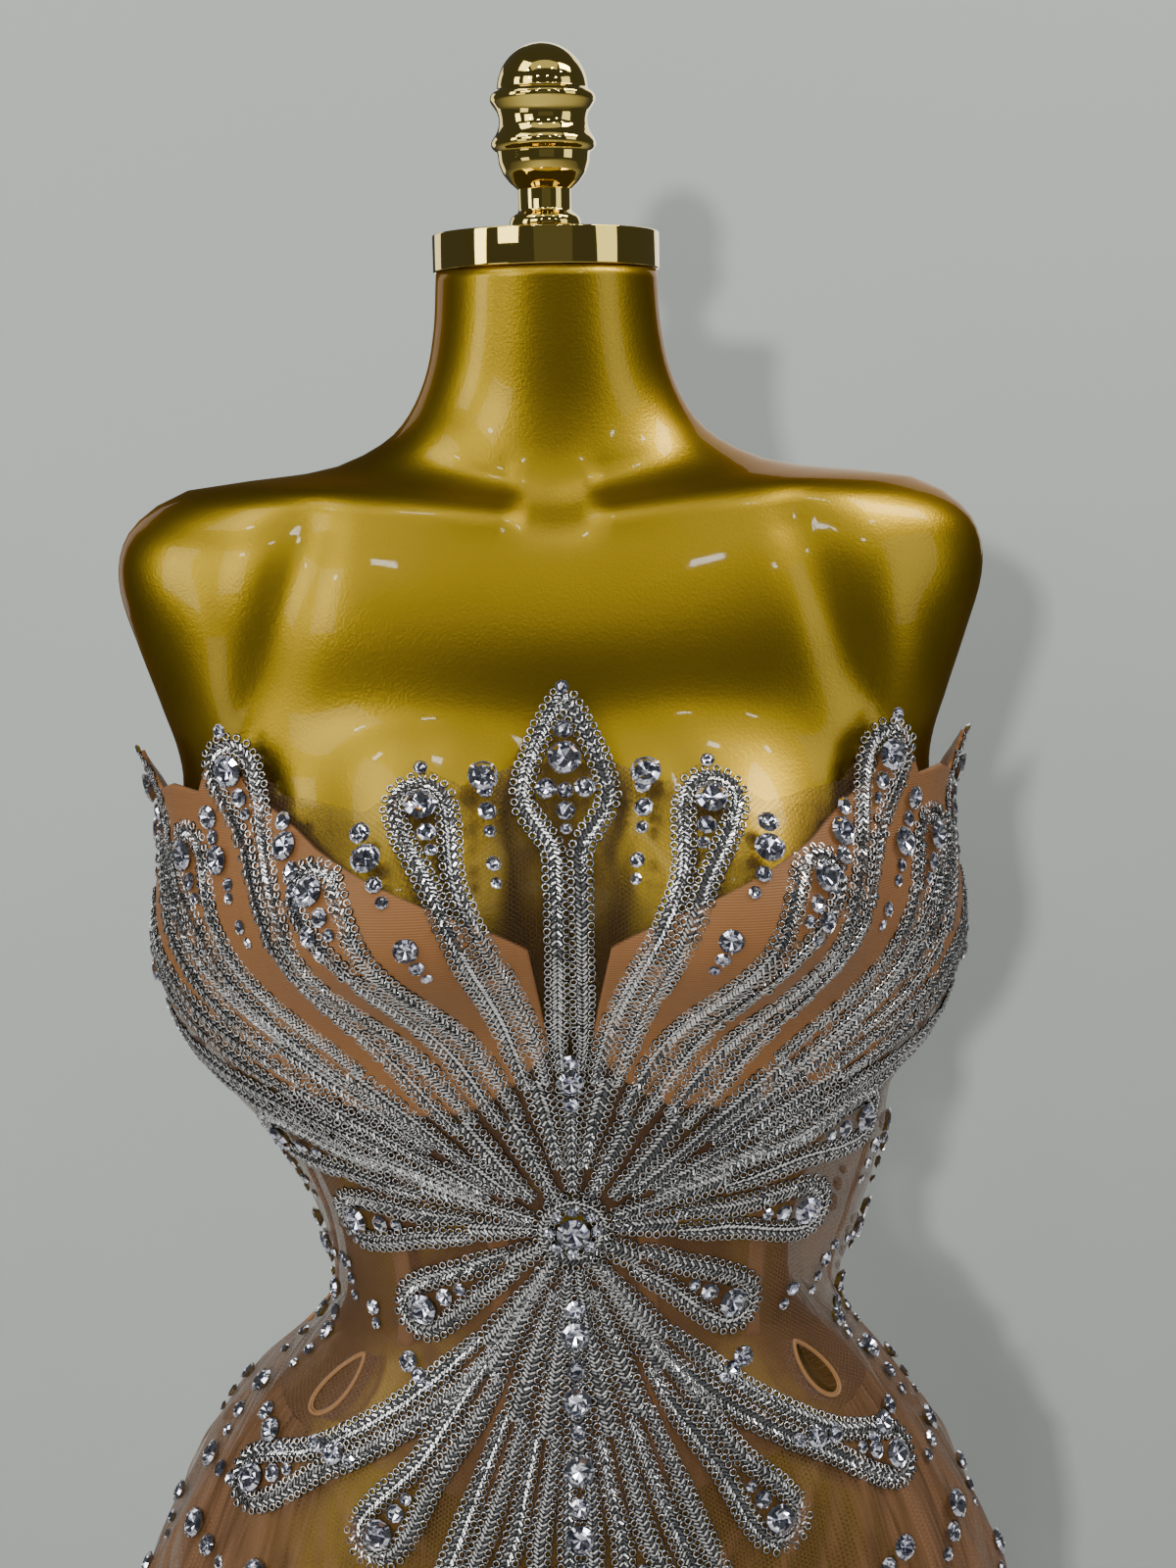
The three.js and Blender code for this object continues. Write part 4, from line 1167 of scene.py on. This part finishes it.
BRAID_ENDS = {0: 0.985, 1: 0.97, 2: 0.90, 3: 0.97, 4: 0.91, 5: 0.97}  # shares of a line's length
# the lozenge at the centre front: how far below its tip, then its half width
LEAF = np.array(
    [[0, 0.2], [4, 3.2], [12, 8.0], [24, 13.5], [34, 17.0], [42, 18.4], [49, 16.8], [56, 12], [63, 7], [70, 5]],
    float,
)


class Ray:
    """A ray's middle line on one side, by its length from the sunburst's centre."""

    def __init__(self, i, side):
        self.i, self.side = i, side
        t = np.linspace(0, BRAID_ENDS.get(i, RAY_LINES[i, 6]), 220)
        angle, height = along(RAY_LINES[i], t).T
        self.angle, self.height = side * angle, height
        self.s = lengths_along(cloth_point(self.angle, self.height))
        self.length = self.s[-1]
        self.room = half_gap(i, t)

    def at(self, s, aside):
        """Angles and heights at lengths s, moved aside over the cloth."""
        angle, height = np.interp(s, self.s, self.angle), np.interp(s, self.s, self.height)
        ahead_s = np.minimum(s + 0.5, self.length)
        behind_s = ahead_s - 1.0
        ahead = cloth_point(np.interp(ahead_s, self.s, self.angle), np.interp(ahead_s, self.s, self.height))
        behind = cloth_point(np.interp(behind_s, self.s, self.angle), np.interp(behind_s, self.s, self.height))
        way = ahead - behind
        way /= np.linalg.norm(way, axis=1, keepdims=True)
        sideways = np.cross(cloth_normal(angle, height), way)
        return shifted(angle, height, sideways * aside[:, None])


LOOP_RADIUS = 11.0
LOOP_OPENS = 52  # before the ray's end
HEART_COVER = 15.0  # no braid nearer the centre, which the medallion covers
ALONE = 3.2  # a ray takes one row of braid where it has less room than this
LEAST_ROOM = 1.7
ROOM_FOR_TWO = 8.6
WIDEST_BASE = 5.3  # from the middle line to each of two rows
SHORTEST_ROW = 6
SHORTEST_PAIR = 30


def ray_strands(ray):
    """The lines that a ray's braid follows, each as angles, heights and shares of the braid's full width.
    It is a single row where the rays lie close, near the centre, and two rows further out."""
    loop = RAYS[ray.i, 9] > 0
    least = ALONE if ray.i % 2 else LEAST_ROOM
    first = max(HEART_COVER, ray.s[np.argmax(ray.room > least)])
    room = np.where(ray.room < ALONE, 2 * ray.room, ray.room)
    wide = ray.room > ROOM_FOR_TWO
    doubled = ray.s[np.argmax(wide)] if wide.any() else ray.length
    base = np.minimum(WIDEST_BASE, room / 2)
    share = np.clip((room - base - 0.5) / BRAID_HALF, 0.6, 1.0)
    single = np.clip((room + 0.2) / BRAID_HALF, 0.42, 1.2)
    strands = []
    if doubled - first > SHORTEST_ROW:
        s = np.linspace(first, doubled + 2, 40)
        strands.append((*ray.at(s, np.zeros_like(s)), np.interp(s, ray.s, single)))
    if ray.length - doubled < SHORTEST_PAIR:
        return strands
    if not loop:
        s = np.linspace(doubled, ray.length, 120)
        width, across = np.interp(s, ray.s, base), np.interp(s, ray.s, share)
        return [*strands, (*ray.at(s, width), across), (*ray.at(s, -width), across)]
    if ray.i == 0:
        s = np.linspace(doubled, ray.length, 160)
        width = np.interp(ray.length - s, LEAF[:, 0], LEAF[:, 1])
        width = np.where(ray.length - s > LEAF[-1, 0], np.interp(s, ray.s, base), width)
        across = np.interp(s, ray.s, share)
    else:
        near = np.linspace(doubled, ray.length - LOOP_RADIUS, 120)
        width = np.interp(near, ray.s, base)
        opening = smooth(ray.length - LOOP_OPENS, ray.length - LOOP_RADIUS - 2, near)
        turn = np.linspace(0, np.pi / 2, 24)[1:]
        s = np.concatenate([near, ray.length - LOOP_RADIUS + LOOP_RADIUS * np.sin(turn)])
        width = np.concatenate([width + (LOOP_RADIUS - width) * opening, LOOP_RADIUS * np.cos(turn)])
        across = np.interp(near, ray.s, share)
        across = np.concatenate([across + (1 - across) * opening, np.ones_like(turn)])
    back = slice(-2, None, -1)
    there_and_back = ray.at(np.concatenate([s, s[back]]), np.concatenate([width, -width[back]]))
    return [*strands, (*there_and_back, np.concatenate([across, across[back]]))]


def strand_places(angle, height, across, pitch, lift):
    """Evenly spaced places along a strand: points, directions along it, outward directions and widths."""
    s = lengths_along(cloth_point(angle, height))
    at = np.arange(pitch / 2, s[-1], pitch)
    a, h = np.interp(at, s, angle), np.interp(at, s, height)
    a1, h1 = np.interp(at + 1, s, angle), np.interp(at + 1, s, height)
    a0, h0 = np.interp(at - 1, s, angle), np.interp(at - 1, s, height)
    out = cloth_normal(a, h)
    way = cloth_point(a1, h1) - cloth_point(a0, h0)
    return cloth_point(a, h) + out * lift, way, out, np.interp(at, s, across)


rays = [Ray(i, 1) for i in range(LAST_RAY + 1)] + [Ray(i, -1) for i in range(1, LAST_RAY)]


def turn_part(shape, verts, degrees, axis):
    """Turns a part of a unit about the origin."""
    matrix = Matrix.Rotation(math.radians(degrees), 3, axis)
    bmesh.ops.rotate(shape, verts=verts, cent=(0, 0, 0), matrix=matrix)


def add_box(shape, size):
    """A box round the origin, as its vertices."""
    verts = bmesh.ops.create_cube(shape, size=1.0)["verts"]
    bmesh.ops.scale(shape, verts=verts, vec=size)
    return verts


# One stitch of the braid has a loop at each edge, four flat strips that cross between the loops, and a
# tape underneath, coloured near-black as painted shade in the gaps between the strips. It's drawn in millimetres.
EDGE_LOOPS = [(-4.0, 10), (4.0, -10)]  # y, tilt
THREAD_RADIUS = 0.66
EDGE_LOOP_RADIUS = 1.45
EDGE_LOOP_HEIGHT = 0.45
shape = bmesh.new()
for y, tilt in EDGE_LOOPS:
    ring = bmesh.ops.create_circle(shape, segments=3, radius=THREAD_RADIUS * MM)["verts"]
    turn_part(shape, ring, 90, "X")
    bmesh.ops.translate(shape, verts=ring, vec=(EDGE_LOOP_RADIUS * MM, 0, 0))
    edges = {e for v in ring for e in v.link_edges}
    before = set(shape.verts) - set(ring)
    bmesh.ops.spin(
        shape,
        geom=[*ring, *edges],
        cent=(0, 0, 0),
        axis=(0, 0, 1),
        angle=2 * math.pi,
        steps=10,
        use_merge=True,
    )
    made = [v for v in shape.verts if v not in before]
    turn_part(shape, made, tilt, "X")
    bmesh.ops.translate(shape, verts=made, vec=(0, y * MM, EDGE_LOOP_HEIGHT * MM))
for face in shape.faces:
    face.smooth = True
rings = set(shape.faces)
STRIPS = [
    # x, y, height, turn, tilt
    (-1.0, -1.2, 0.95, 46, 24),
    (1.0, -1.2, 0.85, 40, 14),
    (-1.0, 1.2, 0.85, -40, -12),
    (1.0, 1.2, 1.0, -46, 20),
]
STRIP_SIZE = (2.7 * MM, 0.85 * MM, 0.75 * MM)
TAPE_SIZE = (4.2 * MM, 5.4 * MM, 0.3 * MM)
TAPE_HEIGHT = 0.2
for x, y, z, turn, tilt in STRIPS:
    strip = add_box(shape, STRIP_SIZE)
    turn_part(shape, strip, tilt, "Y")
    turn_part(shape, strip, turn, "Z")
    bmesh.ops.translate(shape, verts=strip, vec=(x * MM, y * MM, z * MM))
strips = set(shape.faces) - rings
bmesh.ops.translate(shape, verts=add_box(shape, TAPE_SIZE), vec=(0, 0, TAPE_HEIGHT * MM))
bmesh.ops.recalc_face_normals(shape, faces=shape.faces)
for face in shape.faces:
    face.material_index = 0 if face in rings or face in strips else 1
braid_unit = unit_object("braid_unit", shape)
rise = braid_unit.data.attributes.new("rise", "FLOAT", "POINT")
rise.data.foreach_set("value", [v.co.z / MM for v in braid_unit.data.vertices])

# Painted shade: the silver thread's colour darkens toward its lower side, where the loops and strips
# shade one another. "rise" is the height over the cloth in mm.
silver, silver_tree, silver_shader = shader("silver_braid", (0.88, 0.88, 0.87), 0.14, 1.0)
thread_rise = node(silver_tree, "ShaderNodeAttribute", attribute_name="rise").outputs["Fac"]
thread_painted_shade = color_ramp(silver_tree, thread_rise, [(0.35, (0.10, 0.10, 0.095)), (1.0, (0.88, 0.88, 0.87))])
silver_tree.links.new(thread_painted_shade, silver_shader.inputs["Base Color"])
FILAMENTS_A_METRE = 1100
add_bump(silver_tree, silver_shader, object_noise(silver_tree, FILAMENTS_A_METRE, 1), 0.35, 0.0005)
braid_unit.data.materials.append(silver)
# The core tape's near-black colour is painted shade, for the gaps between the silver strips.
braid_unit.data.materials.append(shader("braid_core_shade", (0.035, 0.033, 0.030), 0.5, 0.6)[0])


def braid_region(ray):
    """The piece that a ray's braid belongs to."""
    hand = "minus_x" if ray.side < 0 else "plus_x"
    if ray.i == 0:
        return "centre"
    if ray.i <= 3:
        return f"inner_{hand}"
    if ray.i <= 6:
        return f"outer_{hand}"
    return "waist" if ray.i <= CORNER_RAY else "hips"


regions = {}
for ray in rays:
    for strand in ray_strands(ray):
        regions.setdefault(braid_region(ray), []).append(strand_places(*strand, BRAID_PITCH, BRAID_LIFT))


def braid_piece(name, strands):
    """Strands of braid as one piece, each unit turned and sized a little differently."""
    points, way, out, across = (np.concatenate([s[c] for s in strands]) for c in range(4))
    out = out + rng.normal(0, 0.07, out.shape)
    width = np.stack([np.ones_like(across), across, np.ones_like(across)], 1)
    piece = placed(name, braid_unit, points, way, out, width * rng.uniform(0.96, 1.05, (len(points), 1)))
    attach(piece, "root")
    return piece


for region, strands in regions.items():
    braid_piece(f"braid_{region}", strands)

# ---------------------------------------------------------------- the crystals
# Pointed-back crystals in silver claw cups, sewn through the net. A large one sits in each ray's end
# loop, smaller ones follow it, and rows that grow smaller run down between the rays.

crystal, crystal_tree, crystal_shader = shader(
    "crystal", (0.62, 0.64, 0.80), 0.03, 1.0, Coat_Weight=1.0, Coat_Roughness=0.0
)
# The crystals' colour is painted reflection: patches of noise, bright and dark, that stand for lamps and the room
# flashing in their facets.
PAINTED_FLASH_A_METRE = 420
PAINTED_FLASH = [
    # painted reflection: where the noise passes to each colour that a facet seems to flash in
    (0.0, (0.34, 0.35, 0.47)),
    (0.40, (0.80, 0.82, 0.95)),
    (0.50, (0.97, 0.98, 1.0)),
    (0.60, (0.42, 0.41, 0.55)),
    (0.66, (0.82, 0.82, 0.95)),
]
painted_flash = color_ramp(crystal_tree, object_noise(crystal_tree, PAINTED_FLASH_A_METRE, 0), PAINTED_FLASH, "CONSTANT")
crystal_tree.links.new(painted_flash, crystal_shader.inputs["Base Color"])
cup_metal = shader("crystal_cup", (0.70, 0.71, 0.74), 0.25, 1.0)[0]


def add_cone(shape, sides, low, high, tall, middle, capped):
    """A cone or cup by its lower and upper radius, its depth and the height of its middle."""
    bmesh.ops.create_cone(
        shape,
        cap_ends=capped,
        segments=sides,
        radius1=low,
        radius2=high,
        depth=tall,
        matrix=Matrix.Translation((0, 0, middle)),
    )


def crystal_unit(name, sides, claws):
    """A faceted crystal one unit across, with a crown and a sunk star of back facets, in its cup. The
    claws are bent in over its edge."""
    shape = bmesh.new()
    add_cone(shape, sides, 0.5, 0.36, 0.13, 0.26, True)
    table = max(shape.faces, key=lambda f: f.calc_center_median().z)
    bmesh.ops.inset_region(shape, faces=[table], thickness=0.10, depth=0.015)
    corners = list(table.verts)
    star = bmesh.ops.poke(shape, faces=[table])
    for v in star["verts"]:
        v.co.z -= 0.15
    for v in corners[::2]:
        v.co.z -= 0.05
    stone_faces = set(shape.faces)
    add_cone(shape, sides, 0.30, 0.535, 0.24, 0.10, False)
    for i in range(claws):
        claw = add_box(shape, (0.15, 0.07, 0.05))
        turn_part(shape, claw, 28, "Y")
        bmesh.ops.translate(shape, verts=claw, vec=(0.47, 0, 0.275))
        turn_part(shape, claw, 360 * (i + 0.5) / claws, "Z")
    for face in shape.faces:
        face.material_index = 0 if face in stone_faces else 1
    unit = unit_object(name, shape)
    unit.data.materials.append(crystal)
    unit.data.materials.append(cup_metal)
    return unit


large_unit = crystal_unit("large_crystal_unit", 12, 4)
small_unit = crystal_unit("small_crystal_unit", 8, 0)

ON_CLOTH = 0.6  # how far off the cloth a stone's cup stands
ON_BRAID = 1.2
OVER_SEAM = 2.6
stones = []  # angle, height, diameter, how far off the cloth


def add_stone(angle, height, diameter, off=ON_CLOTH):
    stones.append((float(angle), float(height), float(diameter), off))


# the stones inside a loop: how far below its tip, how far aside, diameter
LEAF_STONES = [(14.5, 0, 8), (27, 0, 13.5), (40, -8.2, 8.5), (40, 8.2, 8.5), (41, 0, 7), (49.5, 0, 8), (57.5, 0, 5)]
LOOP_STONES = [(LOOP_RADIUS, 0, 13.0), (LOOP_RADIUS + 12.5, 0, 8.0), (LOOP_RADIUS + 20.5, 0, 5.5)]
TIP_RAYS = (0, 1, 3, 5)  # those that end in a tip of the upper edge, with a small stone on it
for ray in rays:
    if RAYS[ray.i, 9] > 0:
        for back, aside, diameter in LEAF_STONES if ray.i == 0 else LOOP_STONES:
            (angle,), (height,) = ray.at(np.array([ray.length - back]), np.array([float(aside)]))
            add_stone(angle, height, diameter, ON_BRAID)
    if ray.i in TIP_RAYS:
        angle, height = along(RAY_LINES[ray.i], 0.998)
        add_stone(ray.side * angle, height, 6.0)

BRAID_REACH = 11.4  # from a ray's middle line to the outer edge of its braid
ROW_BREAK = 6
GAP_ROWS = [
    # how far short of the edge in millimetres, a shift in degrees, then the diameters, 0 for a break
    (5, 3.4, (12.5, 7, 8, 5.5, 0, 6.5, 5)),
    (5, 0, (9, 12.5, 7, 5.5, 0, 0, 10, 6.5, 5)),
    (7, -1.0, (8, 12.5, 8.5, 6, 5, 0, 9, 5.5)),
    (6, 0, (10, 7, 12.5, 6, 5.5, 0, 6.5, 5)),
    (5, 0, (12.5, 8, 6, 5, 0, 9, 6, 5)),
    (9, 0, (9, 12.5, 7, 5.5, 5)),
    (9, 0, (12.5, 8, 6, 5)),
    (8, 0, (9, 7, 5.5, 5)),
    (6, 0, (12.5, 8, 0, 6.5, 5)),
    (7, 0, (8, 11, 7, 5.5, 5, 0, 6)),
]
for j, (short, shift, diameters) in enumerate(GAP_ROWS):
    t = np.linspace(0.12, 1.0, 240)
    angle, height = along(GAP_LINES[j], t).T
    middle = cloth_point(angle, height)
    s = lengths_along(middle)
    beside = [cloth_point(*along(RAY_LINES[i], t).T) - middle for i in (j, j + 1)]
    room = np.min(np.linalg.norm(beside, axis=2), axis=0)
    reached = s[-1] - short
    for diameter in diameters:
        if not diameter:
            reached -= ROW_BREAK
            continue
        reached -= diameter / 2 + 0.7
        if np.interp(reached, s, room) - BRAID_REACH < diameter / 2:
            break
        for side in (1, -1):
            aside = shift + rng.uniform(-0.45, 0.45)
            add_stone(side * (np.interp(reached, s, angle) + aside), np.interp(reached, s, height), diameter)
        reached -= diameter / 2 + rng.uniform(0.3, 1.6)

CENTRE_COLUMN = [
    # height, diameter
    (1068, 7),
    (1058, 11),
    (1047, 7),
    (948, 9),
    (936, 12.5),
    (920, 8),
    (906, 12.5),
    (893, 7),
    (876, 12.5),
    (860, 9),
    (846, 12.5),
    (832, 7),
]
for height, diameter in CENTRE_COLUMN:
    add_stone(0, height, diameter, OVER_SEAM)

MM_PER_DEGREE_HIP = 2.9
HIP_GROUPS = [
    # short rows: the angle and height where each starts, its direction in degrees, diameters
    (76, 1012, 258, (8, 6, 5)),
    (87, 1004, 268, (9, 7, 5)),
    (84, 974, 262, (10, 7, 5)),
    (68, 962, 250, (8, 6, 5)),
    (89, 958, 270, (9, 6.5, 5)),
    (77, 944, 262, (11, 8, 6)),
    (60, 948, 240, (7, 5.5)),
    (88, 928, 272, (10, 7, 5)),
    (74, 922, 300, (9, 6.5, 5)),
    (48, 922, 210, (9, 7, 5)),
    (82, 902, 255, (12, 8, 6)),
    (75, 884, 205, (9, 11, 6.5)),
    (60, 880, 185, (8, 10, 6)),
    (92, 892, 262, (9, 7, 5)),
    (84, 862, 200, (12, 8, 6)),
    (88, 838, 240, (10, 7, 5)),
    (78, 834, 215, (13, 9, 6.5)),
    (66, 828, 225, (11, 8, 6)),
    (86, 806, 250, (12, 8, 6, 5)),
    (72, 796, 235, (9, 7, 5)),
    (58, 800, 210, (12, 9, 6)),
    (44, 796, 240, (10, 7, 5)),
    (80, 774, 260, (10, 7, 5)),
    (64, 762, 250, (12, 8, 6)),
    (50, 762, 225, (9, 6.5, 5)),
    (28, 772, 240, (11, 8, 6)),
    (10, 770, 255, (9, 7, 5)),
    (88, 742, 262, (11, 8, 6)),
    (72, 726, 255, (9, 7, 5)),
    (38, 738, 250, (10, 7, 5)),
    (20, 732, 262, (9, 6.5, 5)),
    (56, 720, 250, (10, 7, 5)),
    (6, 722, 268, (8, 6, 5)),
    (104, 850, 290, (11, 8, 6)),
    (116, 820, 280, (10, 7, 5)),
    (130, 858, 275, (9, 7, 5)),
    (146, 830, 270, (11, 8, 6)),
    (160, 862, 270, (9, 6.5, 5)),
    (108, 780, 280, (9, 7, 5)),
    (124, 768, 275, (11, 8, 6)),
    (140, 782, 270, (9, 7, 5)),
    (156, 774, 268, (10, 7, 5)),
    (170, 800, 270, (9, 6.5, 5)),
    (82, 1090, 70, (9, 7, 5)),
    (104, 1060, 90, (10, 7, 5)),
    (118, 1100, 95, (9, 7, 5)),
    (112, 1010, 85, (9, 6.5, 5)),
    (136, 1070, 92, (9, 7, 5)),
    (134, 980, 90, (8, 6, 5)),
    (158, 1050, 90, (9, 7, 5)),
    (104, 950, 88, (9, 7, 5)),
]
for angle, height, direction, diameters in HIP_GROUPS:
    for side in (1, -1):
        a0, h0 = angle + rng.uniform(-1.3, 1.3), height + rng.uniform(-4, 4)
        aim = math.radians(direction + rng.uniform(-16, 16))
        reached = 0
        for diameter in diameters:
            reached += diameter / 2 + rng.uniform(0.6, 1.6)
            add_stone(side * (a0 + math.cos(aim) * reached / MM_PER_DEGREE_HIP), h0 + math.sin(aim) * reached, diameter)
            reached += diameter / 2 + rng.uniform(0.4, 1.4)


def crystal_piece(name, unit, chosen):
    """Stones as one piece, each spun at random and tilted a little."""
    angle, height, diameter, off = np.array(chosen).T
    out = cloth_normal(angle, height)
    points = cloth_point(angle, height) + out * off[:, None]
    spin = rng.uniform(0, 2 * np.pi, len(points))
    level_way = np.cross(out, [0, 0, 1])
    up_way = np.cross(level_way, out)
    way = level_way * np.cos(spin)[:, None] + up_way * np.sin(spin)[:, None]
    out = out + rng.normal(0, 0.05, out.shape)
    piece = placed(name, unit, points, way, out, diameter * MM)
    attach(piece, "root")


LARGE = 8.5
crystal_piece("crystals_large", large_unit, [s for s in stones if s[2] >= LARGE])
crystal_piece("crystals_small", small_unit, [s for s in stones if s[2] < LARGE])

# ---------------------------------------------------------------- the medallion
# A ring of the same braid round a large crystal and a circle of small ones. It covers the place where
# every ray starts, and is sewn through all the layers.

RING_RADIUS = 13.5
STONE_CIRCLE = 10.2
turn = np.linspace(0, 2 * np.pi, 60)
degrees = np.degrees(1 / -HEART[1])  # of angle, a millimetre
ring_angle = degrees * RING_RADIUS * np.cos(turn)
ring_height = SUNBURST + RING_RADIUS * np.sin(turn)
ring = strand_places(ring_angle, ring_height, np.full_like(turn, 0.9), BRAID_PITCH, 2.2)
medallion = braid_piece("medallion_braid", [ring])
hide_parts("sunburst_medallion")
centre_stones = [(0.0, SUNBURST, 14.0, OVER_SEAM)]
for i in range(8):
    a = 2 * math.pi * i / 8
    place = (degrees * STONE_CIRCLE * math.cos(a), SUNBURST + STONE_CIRCLE * math.sin(a))
    centre_stones.append((*place, 5.0, OVER_SEAM))
crystal_piece("medallion_crystals", large_unit, centre_stones)

# ---------------------------------------------------------------- hooks and eyes
# Hooks of bent plated wire, each closed over its eye. They're sewn along the back edges, and close the
# bodice and the top of the skirt.

hook_wire = shader("hook_wire", (0.50, 0.42, 0.30), 0.3, 1.0)[0]
HOOK_HEIGHTS = np.arange(785, 1118, 16.0)
WIRE_RADIUS = 0.45
hooks = []
for height in HOOK_HEIGHTS:
    turn = np.linspace(0, 2 * np.pi, 18, endpoint=False)
    arc = 180 + 3.0 * np.cos(turn)
    up = height + 1.6 * np.sin(turn) * (1 + 0.3 * np.cos(turn))
    hooks.append(tube_along("hook", cloth_point(arc, up) + cloth_normal(arc, up), WIRE_RADIUS, True))
closing = joined(hooks)
closing.name = "hooks_and_eyes"
finish_piece(closing, hook_wire, "hook_metal")

for unit in (braid_unit, large_unit, small_unit):
    bpy.data.objects.remove(unit)

# ---------------------------------------------------------------- the room, light and camera
# A pale floor and wall. The key light is at the upper left, with a smaller lamp for the shadow on the
# wall, panels that the gold and crystals mirror, a wash on the wall, and lamps behind.


def plain_plane(name, size, location, rotation, color):
    bpy.ops.mesh.primitive_plane_add(size=size, location=location, rotation=rotation)
    plane = bpy.context.object
    plane.name = name
    made, tree, principled = shader(name, color, 0.9)
    plane.data.materials.append(made)
    return tree, principled


plain_plane("floor", 8, (0, 0, 0), (0, 0, 0), (0.55, 0.55, 0.54))
wall_tree, wall_shader = plain_plane("backdrop", 8, (0, 0.50, 1.5), (math.pi / 2, 0, 0), (0.365, 0.402, 0.385))

# The wall shows only to a camera in front of it: the dress can be looked at from behind, the lamps
# behind it reach the dress, and the gold's edges mirror the dim room instead.
wall_side = node(wall_tree, "ShaderNodeNewGeometry").outputs["Backfacing"]
wall_path = node(wall_tree, "ShaderNodeLightPath").outputs["Is Camera Ray"]
wall_front = node(wall_tree, "ShaderNodeMath", {0: wall_path, 1: wall_side}, operation="SUBTRACT", use_clamp=True)
wall_tree.links.new(wall_front.outputs[0], wall_shader.inputs["Alpha"])


def area_light(name, location, aim, size, power, color=(1, 1, 1), mirrored=True):
    light = bpy.data.lights.new(name, "AREA")
    light.shape = "RECTANGLE"
    light.size, light.size_y = size
    light.energy = power
    light.color = color
    lamp = linked(name, light)
    lamp.location = location
    lamp.rotation_euler = (Vector(aim) - Vector(location)).to_track_quat("-Z", "Y").to_euler()
    lamp.visible_glossy = mirrored


area_light("key", (-1.3, -1.6, 2.0), (0, 0, 1.2), (0.8, 0.8), 9.5, (1, 0.99, 0.96))
area_light("shadow", (-0.5, -2.4, 1.58), (0, 0, 1.2), (0.08, 0.08), 50, (1, 0.99, 0.96), False)
area_light("overhead", (0.1, -0.85, 2.75), (0, 0, 1.15), (1.7, 0.6), 2)
area_light("front", (0.3, -2.9, 1.5), (0, 0, 1.1), (2.0, 1.2), 0.4)
area_light("high_left", (-0.9, -0.5, 2.6), (0, 0, 0.95), (0.6, 0.6), 5)
area_light("left", (-1.9, -0.7, 1.8), (0, 0, 1.2), (0.5, 1.0), 9)
area_light("low_left", (-1.6, -1.3, 0.8), (0, 0, 0.95), (0.8, 0.6), 3)
area_light("right", (2.1, -1.1, 1.7), (0, 0, 1.1), (1.0, 1.4), 8, (0.95, 0.97, 1))
for row, (y, z) in enumerate(((-1.5, 2.2), (-0.9, 2.5))):
    for column in range(4):
        x = -1.05 + 0.7 * column + 0.2 * row
        area_light(f"spot_{row}_{column}", (x, y, z), (0, 0, 1.1), (0.13, 0.05), 1.3)
area_light("wall_wash", (1.4, -0.3, 2.7), (0.9, 0.5, 1.4), (1.0, 0.4), 26, (1, 0.93, 0.86))
area_light("behind", (0.7, 2.4, 2.1), (0, 0.1, 1.1), (2.0, 2.0), 22)
area_light("behind_left", (-1.4, 1.9, 1.6), (0, 0.1, 1.0), (0.8, 1.6), 6)

world = bpy.data.worlds.new("room")
world.use_nodes = True
world.node_tree.nodes["Background"].inputs["Color"].default_value = (0.80, 0.84, 0.88, 1)
world.node_tree.nodes["Background"].inputs["Strength"].default_value = 0.075
bpy.context.scene.world = world

FORM_TURN = math.radians(2.3)
CAMERA_TILT = math.radians(8.3)
CAMERA_ROLL = math.radians(1.17)
CAMERA_PLACE = (0.0143, -1.10, 1.3336)
seen = bpy.data.cameras.new("camera")
seen.lens = 54.09
seen.sensor_width = 36
seen.dof.use_dof = False
camera = linked("camera", seen)
ahead = Vector((0, math.cos(CAMERA_TILT), -math.sin(CAMERA_TILT)))
straight_up = Vector((0, math.sin(CAMERA_TILT), math.cos(CAMERA_TILT)))
right = Vector((1, 0, 0)) * math.cos(CAMERA_ROLL) - straight_up * math.sin(CAMERA_ROLL)
looks = Matrix((right, right.cross(ahead), -ahead)).transposed().to_4x4()
camera.matrix_world = Matrix.Rotation(-FORM_TURN, 4, "Z") @ Matrix.Translation(CAMERA_PLACE) @ looks
bpy.context.scene.camera = camera
